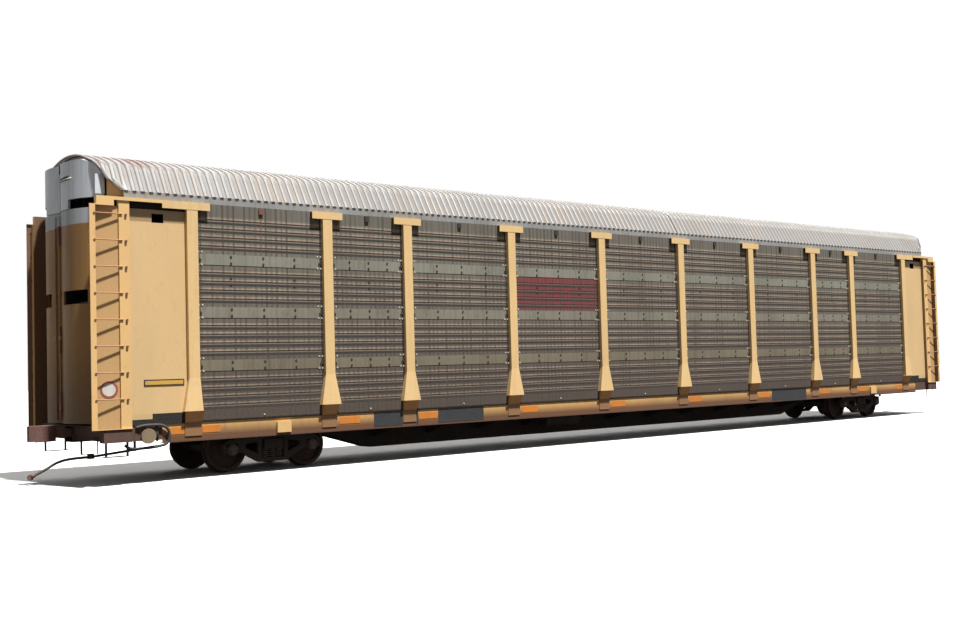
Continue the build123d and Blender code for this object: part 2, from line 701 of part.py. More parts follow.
with BuildPart() as headers:
    for end in ENDS:
        for side in SIDES:
            back = side * PANEL_FACE_Y
            front = side * LADDER_FACE_Y
            start = RACK_HALF + END_CAP_OUT
            block = HEADER_END_X - HEADER_BLOCK
            box(end * start, end * HEADER_END_X, back, front, EAVE_BOTTOM_Z - 12, EAVE_BOTTOM_Z)
            box(end * start, end * HEADER_END_X, front - side * 12, front, HEADER_THIN_Z, EAVE_BOTTOM_Z)
            box(end * block, end * HEADER_END_X, back, front, HEADER_DEEP_Z, EAVE_BOTTOM_Z)
            box(end * HEADER_END_X, end * STILE_X[1], side * (POST_FACE_Y - 20), front,
                HEADER_DEEP_Z, HEADER_DEEP_Z + 14)
            box(end * CORNER_POST_X[0], end * CORNER_POST_X[1], back, side * POST_FACE_Y,
                HEADER_DEEP_Z, EAVE_BOTTOM_Z)
save(headers.part, "header_beams")

EAVE_END_X = STRIKER_X - 464.0

with BuildPart() as eaves:
    for side in SIDES:
        outer = side * (PANEL_FACE_Y - 2)
        inner = side * (EAVE_Y - 44)
        box(-EAVE_END_X, EAVE_END_X, outer, outer - side * 12, EAVE_BOTTOM_Z, EAVE_TOP_Z)
        box(-EAVE_END_X, EAVE_END_X, outer - side * 12, inner, EAVE_BOTTOM_Z, EAVE_BOTTOM_Z + 12)
        box(-EAVE_END_X, EAVE_END_X, outer - side * 12, inner, EAVE_TOP_Z - 12, EAVE_TOP_Z)
save(eaves.part, "eave_rails")

# Roof


def rib_block(x0, x1):
    """Give the roof's ribs between two stations as plain arches."""
    first = int(x0 // RIB_PITCH) + 1
    last = int(x1 // RIB_PITCH)
    middle_z = (ROOF_FLOOR_Z + ROOF_PEAK_Z) / 2
    with BuildPart() as arches:
        stations = [n * RIB_PITCH for n in range(first, last + 1)]
        stations = [x for x in stations if x0 + RIB_WIDTH < x < x1 - RIB_WIDTH]
        with Locations(*[(x, 0, middle_z) for x in stations]):
            Box(RIB_WIDTH, 2 * EAVE_Y + 200, ROOF_PEAK_Z - ROOF_FLOOR_Z + 200)
        add(under_roof(x0, x1, ROOF_FLOOR_Z, -RIB_HEIGHT), mode=Mode.INTERSECT)
    return arches.part


def roof_shell(x0, x1):
    """Build the ribbed arched sheet between two stations, with its ends cut to the plan arcs."""
    with BuildPart() as shell:
        add(under_roof(x0, x1, ROOF_FLOOR_Z, 0))
        add(rib_block(x0, x1))
        add(under_roof(x0 - 10, x1 + 10, ROOF_FLOOR_Z - 20, ROOF_SHEET), mode=Mode.SUBTRACT)
        box(x0 - 20, x1 + 20, -EAVE_Y - 50, EAVE_Y + 50, ROOF_FLOOR_Z - 50, EAVE_TOP_Z, mode=Mode.SUBTRACT)
        add(roof_plan(EAVE_TOP_Z - 300, ROOF_END_RADIUS, ROOF_END_X, ROOF_END_Y), mode=Mode.INTERSECT)
    return shell.part


ROOF_END = ROOF_END_X + ROOF_END_RADIUS + 10
save(roof_shell(-ROOF_END, ROOF_JOINT_X), "roof_a")
save(roof_shell(ROOF_JOINT_X, ROOF_END), "roof_b")

# End closures and doors


def drum_edges(end, side, angle0, angle1, inner, outer):
    """Draw part of a door drum in plan. Angles run from straight out of the car towards its side."""
    cx = end * DOOR_PIVOT_X
    cy = side * DOOR_PIVOT_Y

    def place(radius, angle):
        return (cx + end * radius * cos(radians(angle)), cy + side * radius * sin(radians(angle)))

    def start(radius):
        if angle0 is None:
            return -degrees(asin((DOOR_PIVOT_Y - DOOR_GAP / 2) / radius))
        return angle0

    a, b = start(outer), start(inner)
    ThreePointArc(place(outer, a), place(outer, (a + angle1) / 2), place(outer, angle1))
    Line(place(outer, angle1), place(inner, angle1))
    ThreePointArc(place(inner, angle1), place(inner, (b + angle1) / 2), place(inner, b))
    Line(place(inner, b), place(outer, a))


def drum_wall(end, side, angle0, angle1, z0, z1, inner, outer):
    """Build part of a door drum between two heights."""
    with BuildPart() as wall:
        with BuildSketch(Plane.XY.offset(z0)):
            with BuildLine():
                drum_edges(end, side, angle0, angle1, inner, outer)
            make_face()
        extrude(amount=z1 - z0)
    return wall.part


INNER_RADIUS = DOOR_RADIUS - DOOR_THICKNESS


def closure_wall(end, side, angle0, angle1, z0):
    """Build a drum wall above the doors, cut to the underside of the roof."""
    x0 = end * DOOR_PIVOT_X
    x1 = end * (DOOR_PIVOT_X + DOOR_RADIUS + 50)
    with BuildPart() as wall:
        add(drum_wall(end, side, angle0, angle1, z0, ROOF_PEAK_Z, INNER_RADIUS, DOOR_RADIUS))
        add(under_roof(min(x0, x1), max(x0, x1), DECK_Z, ROOF_SHEET), mode=Mode.INTERSECT)
    return wall.part


def closure_cap(end, side):
    """Build a closure's flat top and the upright plate from it to the underside of the roof."""
    inner = side * DOOR_GAP / 2
    outer = side * CLOSURE_CAP_Y
    low = CLOSURE_TOP_Z - CLOSURE_CAP
    reach = DOOR_PIVOT_X + DOOR_RADIUS
    with BuildPart() as cap:
        with BuildSketch(Plane.XY.offset(low)):
            with Locations((end * DOOR_PIVOT_X, side * DOOR_PIVOT_Y)):
                Circle(INNER_RADIUS)
        extrude(amount=CLOSURE_CAP)
        box(end * CLOSURE_BACK_X, end * reach, inner, outer, low, CLOSURE_TOP_Z, mode=Mode.INTERSECT)
        box(end * CLOSURE_BACK_X, end * (CLOSURE_BACK_X + CLOSURE_CAP), inner, outer, low, ROOF_PEAK_Z)
        add(under_roof(min(end * DOOR_PIVOT_X, end * reach), max(end * DOOR_PIVOT_X, end * reach),
                       DECK_Z, ROOF_SHEET), mode=Mode.INTERSECT)
    return cap.part


TAB_ANGLE = -degrees(asin((DOOR_PIVOT_Y - TAB_HALF_WIDTH) / DOOR_RADIUS))

closures = []
gables = []
for end in ENDS:
    for side in SIDES:
        with BuildPart() as closure:
            add(closure_wall(end, side, None, CLOSURE_END_ANGLE, CLOSURE_BOTTOM_Z))
            box(end * DOOR_PIVOT_X, end * (DOOR_PIVOT_X + DOOR_RADIUS + 50), 0, side * EAVE_Y,
                CLOSURE_TOP_Z, ROOF_PEAK_Z + 100, mode=Mode.SUBTRACT)
            add(closure_cap(end, side))
            add(drum_wall(end, side, None, TAB_ANGLE, DOOR_TOP_Z + TAB_GAP, CLOSURE_BOTTOM_Z,
                          INNER_RADIUS, DOOR_RADIUS))
            box(end * RETURN_X[0], end * RETURN_X[1], side * RETURN_Y, side * (RETURN_Y + RETURN_PLATE),
                RETURN_Z[0], RETURN_Z[1])
        closures.append(closure.part)
        gables.append(closure_wall(end, side, GABLE_ANGLES[0], GABLE_ANGLES[1], EAVE_BOTTOM_Z))
save(Compound(children=closures), "end_closures")
save(Compound(children=gables), "gable_plates")


LOCK_ROD_Y = 100.0
LOCK_ROD_RADIUS = 18.0
LOCK_ROD_PROUD = 30.0
LOCK_GUIDES_Z = (DOOR_BOTTOM_Z + 250.0, DOOR_BOTTOM_Z + 1500.0, DOOR_TOP_Z - 1500.0, DOOR_TOP_Z - 250.0)


def door_leaf(end, side):
    """Build one leaf: the drum wall with its sight slot, the two arms to its pivot and its lock rod."""
    cx = end * DOOR_PIVOT_X
    cy = side * DOOR_PIVOT_Y
    swing = DOOR_RADIUS + LOCK_ROD_PROUD
    rod_x = cx + end * sqrt(swing ** 2 - (DOOR_PIVOT_Y - LOCK_ROD_Y) ** 2)
    rod_y = side * LOCK_ROD_Y
    with BuildPart() as leaf:
        add(drum_wall(end, side, None, DOOR_TAIL_ANGLE, DOOR_BOTTOM_Z, DOOR_TOP_Z, INNER_RADIUS, DOOR_RADIUS))
        box(end * (DOOR_PIVOT_X + 300), end * (DOOR_PIVOT_X + DOOR_RADIUS + 20), side * DOOR_SLOT_Y[0],
            side * DOOR_SLOT_Y[1], DOOR_SLOT_Z[0], DOOR_SLOT_Z[1], mode=Mode.SUBTRACT)
        for z in (DOOR_BOTTOM_Z, DOOR_TOP_Z - ARM_THICKNESS):
            with BuildSketch(Plane(origin=(cx, cy, z), x_dir=(end, 0, 0))):
                Circle(ARM_HUB_RADIUS)
                for angle in (0, 40):
                    turn = angle * side * end
                    reach = INNER_RADIUS + DOOR_THICKNESS / 2
                    with Locations(Location((reach / 2 * cos(radians(turn)), reach / 2 * sin(radians(turn)), 0),
                                            (0, 0, turn))):
                        Rectangle(reach, ARM_WIDTH)
                Circle(PIN_RADIUS + PIN_GAP, mode=Mode.SUBTRACT)
            extrude(amount=ARM_THICKNESS)
        rod((rod_x, rod_y, DOOR_BOTTOM_Z + 60), (rod_x, rod_y, DOOR_TOP_Z - 60), LOCK_ROD_RADIUS, 8)
        for z in LOCK_GUIDES_Z:
            box(rod_x - end * 60, rod_x + end * 24, rod_y - 35, rod_y + 35, z, z + 60)
    return leaf.part


LEAVES = (("a_near", -1, -1), ("a_far", -1, 1), ("b_near", 1, -1), ("b_far", 1, 1))
for name, end, side in LEAVES:
    save(door_leaf(end, side), "door_" + name)

PIVOT_BEAM_HALF = 60.0

with BuildPart() as pivot_beams:
    for end in ENDS:
        x = end * DOOR_PIVOT_X
        box(x - PIVOT_BEAM_HALF, x + PIVOT_BEAM_HALF, -(EAVE_Y - 60), EAVE_Y - 60,
            DOOR_TOP_Z + 15, DOOR_TOP_Z + 115)
        box(x - PIVOT_BEAM_HALF, x + PIVOT_BEAM_HALF, -(PANEL_FACE_Y - PANEL_THICKNESS),
            PANEL_FACE_Y - PANEL_THICKNESS, DOOR_TOP_Z + 60, DOOR_TOP_Z + 115)
        with Locations(*[(x, s * DOOR_PIVOT_Y, DOOR_TOP_Z - 5) for s in SIDES]):
            Cylinder(PIN_RADIUS, 2 * ARM_THICKNESS)
save(pivot_beams.part, "door_pivot_beams")

# Upper deck

DECK_B_SWING = INNER_RADIUS - 20.0
DECK_B_FULL_X = DOOR_PIVOT_X - 920.0
DECK_B_NECK = 850.0
DECK_B_END_X = STRIKER_X - 100.0

with BuildPart() as deck_b:
    with BuildSketch(Plane.XY.offset(DECK_B_Z - DECK_B_PLATE)):
        Rectangle(2 * DOOR_PIVOT_X, 2 * DECK_B_NECK)
        with Locations(*[(e * DOOR_PIVOT_X, s * DOOR_PIVOT_Y) for e in ENDS for s in SIDES]):
            Circle(DECK_B_SWING)
        Rectangle(2 * DECK_B_END_X, 4 * DECK_B_SWING, mode=Mode.INTERSECT)
        Rectangle(2 * DECK_B_FULL_X, 2 * DECK_B_HALF_WIDTH)
    extrude(amount=DECK_B_PLATE)
    low = DECK_B_Z - DECK_B_EDGE
    for side in SIDES:
        y = side * DECK_B_HALF_WIDTH
        box(-DECK_B_FULL_X, DECK_B_FULL_X, y, y - side * 12, low, DECK_B_Z)
        for x in POSTS[1:-1]:
            box(x - 60, x + 60, y, side * (PANEL_FACE_Y - PANEL_THICKNESS), low, DECK_B_Z)
    for x in POSTS[1:-1]:
        box(x - 40, x + 40, -DECK_B_HALF_WIDTH, DECK_B_HALF_WIDTH, low, DECK_B_Z - 10)
save(deck_b.part, "deck_upper")

# Small gear on the underframe

STEP_Z = RAIL + 470.0
STEP_X = (CORNER_X[0] + 30.0, CORNER_X[1] - 90.0)

with BuildPart() as jack_pads:
    for end in ENDS:
        for side in SIDES:
            box(end * (TRUCK_X - 136), end * (TRUCK_X + 160), side * SILL_FACE_Y,
                side * (SILL_FACE_Y + 40), RAIL + 715, RAIL + 920)
save(jack_pads.part, "jack_pads")

with BuildPart() as steps:
    for end in ENDS:
        for side in SIDES:
            y0 = side * SILL_FACE_Y
            y1 = side * (SILL_FACE_Y + 12)
            for x in STEP_X:
                box(end * x, end * (x + 40), y0, y1, STEP_Z, SILL_BOTTOM_Z + 60)
            box(end * STEP_X[0], end * (STEP_X[1] + 40), y0 - side * 140, y1, STEP_Z, STEP_Z + 12)
save(steps.part, "sill_steps")

TANK_Z = RAIL + 560.0
BAY_MIDDLE = 1.5 * BEARER_PITCH

with BuildPart() as brake_cylinder:
    rod((BAY_MIDDLE - 260, 620, TANK_Z), (BAY_MIDDLE + 260, 620, TANK_Z), 150)
    rod((BAY_MIDDLE + 260, 620, TANK_Z), (BAY_MIDDLE + 420, 620, TANK_Z), 30)
    box(BAY_MIDDLE - 100, BAY_MIDDLE + 100, 480, 760, TANK_Z + 100, SILL_TOP_Z)
save(brake_cylinder.part, "brake_cylinder")

with BuildPart() as air_reservoir:
    rod((-BAY_MIDDLE - 550, -700, TANK_Z), (-BAY_MIDDLE + 550, -700, TANK_Z), 170)
    for x in (-BAY_MIDDLE - 300, -BAY_MIDDLE + 300):
        box(x - 30, x + 30, -860, -540, TANK_Z + 100, SILL_TOP_Z)
save(air_reservoir.part, "air_reservoir")

PIPE_RADIUS = 24.0
PIPE_Y = 400.0
PIPE_X = (STRIKER_X - 1660.0, STRIKER_X - 194.0)
PIPE_Z = (RAIL + 560.0, RAIL + 430.0)
COCK_LENGTH = 100.0

with BuildPart() as train_pipes:
    for end in ENDS:
        y = end * PIPE_Y
        rod((end * PIPE_X[0], y, PIPE_Z[0]), (end * (PIPE_X[1] - COCK_LENGTH / 2), y, PIPE_Z[1]), PIPE_RADIUS)
        box(end * (PIPE_X[1] - COCK_LENGTH), end * PIPE_X[1], y - 40, y + 40, PIPE_Z[1] - 35, PIPE_Z[1] + 60)
        box(end * (BRACE_X[0] + 40), end * (BRACE_X[0] + 60), y - 40, y + 40, PIPE_Z[1] + 50, SILL_BOTTOM_Z + 60)
        box(end * (STRIKER_X - 86), end * (STRIKER_X - 74), y - 40, y + 40, PIPE_Z[1] + 50, SILL_BOTTOM_Z + 90)
        box(end * PIPE_X[1], end * (STRIKER_X - 74), y - 40, y + 40, PIPE_Z[1] + 50, PIPE_Z[1] + 60)
save(train_pipes.part, "train_pipes")

LEVER_X = STRIKER_X + 16.0
LEVER_Z = RAIL + 800.0
LEVER_RADIUS = 12.0

with BuildPart() as levers:
    for end in ENDS:
        x = end * LEVER_X
        rod((x, end * 230, LEVER_Z), (x, end * 1420, LEVER_Z), LEVER_RADIUS, 8)
        rod((x, end * 1420, LEVER_Z + LEVER_RADIUS), (x, end * 1420, LEVER_Z - 260), LEVER_RADIUS, 8)
        for y in (320, 1300):
            box(end * CORNER_X[1], end * (LEVER_X + 20), end * (y - 20), end * (y + 20),
                LEVER_Z - 30, LEVER_Z + 30)
save(levers.part, "uncoupling_levers")

# Air hose at the -X end, hanging from the cock to its coupling head

HOSE_RADIUS = 25.0
HOSE_ROUTE = (
    (-PIPE_X[1], -PIPE_Y, PIPE_Z[1]),
    (-PIPE_X[1] - 260, -PIPE_Y, PIPE_Z[1]),
    (-PIPE_X[1] - 530, -PIPE_Y, PIPE_Z[1] - 40),
    (-PIPE_X[1] - 740, -PIPE_Y + 15, PIPE_Z[1] - 165),
    (-PIPE_X[1] - 915, -PIPE_Y + 30, PIPE_Z[1] - 245),
)


def bend_radii(route):
    """Give each corner the largest arc that its two runs allow."""
    radii = []
    for before, here, after in zip(route, route[1:], route[2:]):
        run_in = Vector(*here) - Vector(*before)
        run_out = Vector(*after) - Vector(*here)
        turn = radians(run_in.get_angle(run_out))
        shorter = min(run_in.length, run_out.length)
        radii.append(0.45 * shorter * cos(turn / 2) / sin(turn / 2))
    return radii


with BuildPart() as hose:
    with BuildLine() as hose_path:
        FilletPolyline(*HOSE_ROUTE, radius=bend_radii(HOSE_ROUTE))
    with BuildSketch(Plane(origin=HOSE_ROUTE[0], z_dir=hose_path.line % 0)):
        Circle(HOSE_RADIUS)
    sweep()
save(hose.part, "air_hose")
HOSE_LENGTH = sum(edge.length for edge in hose_path.edges())
print("air hose radii", [round(r) for r in bend_radii(HOSE_ROUTE)], "length", round(HOSE_LENGTH))

with BuildPart() as gladhand:
    tip = Vector(*HOSE_ROUTE[-1])
    heading = (tip - Vector(*HOSE_ROUTE[-2])).normalized()
    rod(tuple(tip), tuple(tip + heading * 60), 32)
    with Locations(tip + heading * 85 + Vector(0, 10, 0)):
        Cylinder(52, 34, rotation=(90, 0, 0))
save(gladhand.part, "hose_coupling_head")

# Couplers: the head's outline is measured from where it meets the shank
COUPLER_HEAD = (
    (0, -110), (140, -190), (350, -190), (430, -130), (430, -10), (360, 20),
    (240, -30), (210, 120), (400, 200), (410, 240), (170, 220), (0, 110),
)


def coupler(end):
    """Build one automatic coupler: shank, head, guard arm and knuckle."""
    half = SHANK_WIDTH / 2
    head = COUPLER_HEAD_X
    with BuildPart() as piece:
        with BuildSketch(Plane.XY.offset(COUPLER_Z - SHANK_HEIGHT / 2)):
            with BuildLine():
                Polyline((end * (COUPLER_PIN_X - 120), -90), (end * (COUPLER_PIN_X + 60), -90),
                         (end * (COUPLER_PIN_X + 200), -half), (end * (head + 20), -half),
                         (end * (head + 20), half), (end * (COUPLER_PIN_X + 200), half),
                         (end * (COUPLER_PIN_X + 60), 90), (end * (COUPLER_PIN_X - 120), 90), close=True)
            make_face()
        extrude(amount=SHANK_HEIGHT)
        with Locations((end * COUPLER_PIN_X, 0, COUPLER_Z)):
            Cylinder(COUPLER_PIN_RADIUS + PIN_GAP, 2 * SHANK_HEIGHT, mode=Mode.SUBTRACT)
        with BuildSketch(Plane.XY.offset(COUPLER_Z - 140)):
            with BuildLine():
                Polyline(*[(end * (head + x), end * y) for x, y in COUPLER_HEAD], close=True)
            make_face()
        extrude(amount=280)
    return piece.part


save(coupler(-1), "coupler_a")
save(coupler(1), "coupler_b")
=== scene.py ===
import json
import logging
from dataclasses import dataclass
from enum import Enum
from math import cos, pi, radians, sin, sqrt, tan
from typing import Sequence

import bmesh
import bpy
from mathutils import Matrix, Vector


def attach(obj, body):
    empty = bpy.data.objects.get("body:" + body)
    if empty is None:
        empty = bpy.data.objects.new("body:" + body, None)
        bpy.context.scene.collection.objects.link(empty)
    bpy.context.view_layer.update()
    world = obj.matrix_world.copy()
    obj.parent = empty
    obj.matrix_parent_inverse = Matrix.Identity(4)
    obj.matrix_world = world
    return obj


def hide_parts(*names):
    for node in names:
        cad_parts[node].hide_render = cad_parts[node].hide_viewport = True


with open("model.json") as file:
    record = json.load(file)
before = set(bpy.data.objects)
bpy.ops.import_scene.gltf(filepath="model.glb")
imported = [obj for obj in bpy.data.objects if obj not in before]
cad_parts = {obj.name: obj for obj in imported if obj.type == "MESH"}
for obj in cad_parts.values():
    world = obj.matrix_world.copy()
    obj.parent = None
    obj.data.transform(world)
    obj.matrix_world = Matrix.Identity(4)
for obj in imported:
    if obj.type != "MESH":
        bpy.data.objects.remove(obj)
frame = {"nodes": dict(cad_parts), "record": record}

logging.basicConfig(level=logging.INFO, format="%(message)s")
log = logging.getLogger("autorack")

Point = tuple[float, float, float]
Colour = tuple[float, float, float]
Span = tuple[float, float]
Socket = bpy.types.NodeSocket
Axes = dict[str, Socket]

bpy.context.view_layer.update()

# Driving sizes in metres, as in the solids
RAIL = 0.0254
BAYS = (2.85, 1.935, 2.85, 2.85, 2.85, 2.85, 2.85, 1.935, 2.85)
RACK_HALF = sum(BAYS) / 2
STRIKER_X = RACK_HALF + 1.704
TRUCK_X = RACK_HALF - 1.8515
POSTS = [-RACK_HALF + sum(BAYS[:n]) for n in range(len(BAYS) + 1)]
SILL_Y = 1.50
PANEL_Y = 1.52
LADDER_Y = 1.62
LAP_Z = [RAIL + 2.009 + 0.97 * n for n in range(3)]
DOOR_PIVOT = (STRIKER_X - 0.915, 0.40)
DOOR_RADIUS = 1.09
EAVE_TOP_Z = RAIL + 5.10
RIB_PITCH = 0.1524
RUNGS_Z = [RAIL + 4.668 - 0.4577 * n for n in range(8)]
BACK_PLATE_X = (STRIKER_X - 0.334, STRIKER_X + 0.086)
BACK_PLATE_Y = (1.567, 1.504)
FACES_SIDEWAYS = (pi / 2, 0.0, 0.0)


class Side(Enum):
    """The two long sides of the car."""

    NEAR = -1
    FAR = 1


class End(Enum):
    """The two ends of the car."""

    A = -1
    B = 1


def srgb(red: int, green: int, blue: int) -> Colour:
    """Turn an 8-bit colour into the linear values that shaders take.

    Args:
        red: Red from 0 to 255.
        green: Green from 0 to 255.
        blue: Blue from 0 to 255.

    Returns:
        The linear colour.
    """
    def linear(value: int) -> float:
        """Undo the display curve of one channel."""
        part = value / 255
        return part / 12.92 if part <= 0.04045 else ((part + 0.055) / 1.055) ** 2.4

    return linear(red), linear(green), linear(blue)


# Shader groups


class NodeSheet:
    """A short way to add, set and link nodes in one tree."""

    def __init__(self, tree: bpy.types.NodeTree) -> None:
        """Keep the tree that the nodes go into."""
        self.tree = tree

    def put(self, socket: Socket, value: object) -> None:
        """Set a socket's value, or link another socket to it.

        Args:
            socket: The input that is set.
            value: A number, a colour or an output socket.
        """
        if isinstance(value, Socket):
            self.tree.links.new(value, socket)
        elif socket.type == "RGBA" and len(value) == 3:
            socket.default_value = (*value, 1.0)
        else:
            socket.default_value = value

    def math(self, operation: str, a: object, b: object = 0.0, clamp: bool = False) -> Socket:
        """Add a maths node.

        Args:
            operation: The operation's name.
            a: The first value.
            b: The second value.
            clamp: True to hold the result between 0 and 1.

        Returns:
            The result.
        """
        node = self.tree.nodes.new("ShaderNodeMath")
        node.operation = operation
        node.use_clamp = clamp
        self.put(node.inputs[0], a)
        self.put(node.inputs[1], b)
        return node.outputs[0]

    def times(self, a: object, b: object, clamp: bool = False) -> Socket:
        """Multiply two values."""
        return self.math("MULTIPLY", a, b, clamp)

    def band(self, value: object, low: float, high: float) -> Socket:
        """Map a value so that low gives 0 and high gives 1, held between them.

        Args:
            value: The value that is mapped.
            low: Where the result is 0.
            high: Where the result is 1.

        Returns:
            The mapped value.
        """
        node = self.tree.nodes.new("ShaderNodeMapRange")
        self.put(node.inputs["Value"], value)
        node.inputs["From Min"].default_value = low
        node.inputs["From Max"].default_value = high
        return node.outputs["Result"]

    def inside(self, value: object, low: float, high: float, soft: float) -> Socket:
        """Give 1 between two limits and 0 outside them.

        Args:
            value: The value that is tested.
            low: The lower limit.
            high: The upper limit.
            soft: Half the width of each soft edge.

        Returns:
            The mask.
        """
        rise = self.band(value, low - soft, low + soft)
        fall = self.band(value, high + soft, high - soft)
        return self.times(rise, fall)

    def mix(self, factor: object, first: object, second: object) -> Socket:
        """Blend two colours.

        Args:
            factor: How much of the second colour shows.
            first: The first colour.
            second: The second colour.

        Returns:
            The blended colour.
        """
        node = self.tree.nodes.new("ShaderNodeMix")
        node.data_type = "RGBA"
        self.put(node.inputs[0], factor)
        self.put(node.inputs[6], first)
        self.put(node.inputs[7], second)
        return node.outputs[2]

    def noise(self, place: object, stretch: Point, scale: float, detail: float = 4.0) -> Socket:
        """Add stretched noise.

        Args:
            place: The coordinates that it reads.
            stretch: How much each axis is multiplied first.
            scale: The noise's scale.
            detail: The noise's detail.

        Returns:
            The noise's value.
        """
        mapping = self.tree.nodes.new("ShaderNodeMapping")
        mapping.inputs["Scale"].default_value = stretch
        self.tree.links.new(place, mapping.inputs["Vector"])
        noise = self.tree.nodes.new("ShaderNodeTexNoise")
        noise.inputs["Scale"].default_value = scale
        noise.inputs["Detail"].default_value = detail
        self.tree.links.new(mapping.outputs["Vector"], noise.inputs["Vector"])
        return noise.outputs["Fac"]

    def axes(self) -> Axes:
        """Read the piece's own place.

        Returns:
            The whole vector as p, its parts as x, y and z, the sizes of x and y as ax and ay, the distance
            from the nearest door pivot as r, and how far a face looks away from the middle sideways as n,
            towards an end as m and up as u.
        """
        coordinates = self.tree.nodes.new("ShaderNodeTexCoord")
        place = coordinates.outputs["Object"]
        split = self.tree.nodes.new("ShaderNodeSeparateXYZ")
        self.put(split.inputs[0], place)
        x, y, z = (split.outputs[n] for n in "XYZ")
        ax, ay = self.math("ABSOLUTE", x), self.math("ABSOLUTE", y)
        away = (self.math("SUBTRACT", ax, DOOR_PIVOT[0]), self.math("SUBTRACT", ay, DOOR_PIVOT[1]))
        squares = [self.times(part, part) for part in away]
        r = self.math("SQRT", self.math("ADD", *squares))
        looks = self.tree.nodes.new("ShaderNodeSeparateXYZ")
        self.put(looks.inputs[0], coordinates.outputs["Normal"])
        n = self.times(looks.outputs["Y"], self.math("SIGN", y))
        m = self.times(looks.outputs["X"], self.math("SIGN", x))
        return {"p": place, "x": x, "y": y, "z": z, "ax": ax, "ay": ay, "r": r, "n": n, "m": m,
                "u": looks.outputs["Z"]}


class WeatherGroup:
    """Adds run-down streaks, blotches of grime, rust freckles and road dust to a surface."""

    NAME = "outdoor_weather"
    COLOURS = (("Base", (0.8, 0.8, 0.8, 1.0)), ("Grime", (0.1, 0.08, 0.06, 1.0)),
               ("Rust", (0.2, 0.07, 0.03, 1.0)), ("Dust", (0.3, 0.25, 0.2, 1.0)))
    AMOUNTS = (("Streaks", 0.3), ("Blotches", 0.2), ("Freckles", 0.1), ("Dust Top", 1.2),
               ("Dust Amount", 0.4), ("Roughness", 0.5))
    OUTPUTS = (("Color", "NodeSocketColor"), ("Roughness", "NodeSocketFloat"), ("Height", "NodeSocketFloat"))
    # Each noise: how its axes are stretched, its scale and its detail
    STREAK_NOISE = ((9.0, 9.0, 0.45), 1.6, 6.0)
    BLOTCH_NOISE = ((1.0, 1.0, 0.6), 0.9, 5.0)
    FRECKLE_NOISE = ((1.0, 1.0, 0.7), 7.0, 8.0)
    FINE_NOISE = ((1.0, 1.0, 1.0), 46.0, 4.0)
    GRAIN = 0.06

    def __init__(self) -> None:
        """Build the group once."""
        self.group = bpy.data.node_groups.new(self.NAME, "ShaderNodeTree")
        for inputs, kind in ((self.COLOURS, "NodeSocketColor"), (self.AMOUNTS, "NodeSocketFloat")):
            for name, default in inputs:
                socket = self.group.interface.new_socket(name, in_out="INPUT", socket_type=kind)
                socket.default_value = default
        for name, kind in self.OUTPUTS:
            self.group.interface.new_socket(name, in_out="OUTPUT", socket_type=kind)
        sheet = NodeSheet(self.group)
        enter = self.group.nodes.new("NodeGroupInput").outputs
        leave = self.group.nodes.new("NodeGroupOutput").inputs
        axes = sheet.axes()
        place = axes["p"]
        streak = sheet.band(sheet.noise(place, *self.STREAK_NOISE), 0.48, 0.74)
        broad = sheet.band(sheet.noise(place, *self.BLOTCH_NOISE), 0.42, 0.72)
        fine = sheet.noise(place, *self.FINE_NOISE)
        freckle = sheet.band(sheet.noise(place, *self.FRECKLE_NOISE), 0.60, 0.68)
        streaks = sheet.times(streak, enter["Streaks"])
        blotches = sheet.times(broad, enter["Blotches"])
        dirt = sheet.math("ADD", streaks, blotches, clamp=True)
        body = sheet.mix(dirt, enter["Base"], enter["Grime"])
        rusty = sheet.times(freckle, enter["Freckles"], clamp=True)
        body = sheet.mix(rusty, body, enter["Rust"])
        low = sheet.math("SUBTRACT", enter["Dust Top"], axes["z"])
        low = sheet.times(sheet.times(low, 1.4, clamp=True), enter["Dust Amount"])
        low = sheet.times(low, sheet.band(fine, 0.2, 0.62), clamp=True)
        body = sheet.mix(low, body, enter["Dust"])
        grain = sheet.mix(sheet.band(fine, 0.15, 0.85), (0.0, 0.0, 0.0), (1.0, 1.0, 1.0))
        sheet.put(leave["Color"], sheet.mix(self.GRAIN, body, grain))
        rough = sheet.math("ADD", enter["Roughness"], sheet.times(dirt, 0.25), clamp=True)
        sheet.put(leave["Roughness"], sheet.math("ADD", rough, sheet.times(rusty, 0.2), clamp=True))
        sheet.put(leave["Height"], sheet.math("ADD", fine, sheet.times(rusty, 0.6)))


@dataclass(frozen=True)
class Zone:
    """A patch of another colour between limits on the piece's own axes."""

    colour: Colour
    limits: tuple[tuple[str, float, float], ...]
    amount: float = 1.0
    soft: float = 0.004
    ragged: float = 0.0

    def apply(self, sheet: NodeSheet, axes: Axes, base: object) -> Socket:
        """Blend the patch over a colour.

        Args:
            sheet: The tree that it goes into.
            axes: The piece's axes.
            base: The colour beneath.

        Returns:
            The blended colour.
        """
        mask: object = self.amount
        for axis, low, high in self.limits:
            value = axes[axis]
            if self.ragged:
                wobble = sheet.math("SUBTRACT", sheet.noise(axes["p"], (1.0, 1.0, 1.0), 6.0), 0.5)
                value = sheet.math("ADD", value, sheet.times(wobble, self.ragged))
            mask = sheet.times(mask, sheet.inside(value, low, high, self.soft))
        return sheet.mix(mask, base, self.colour)


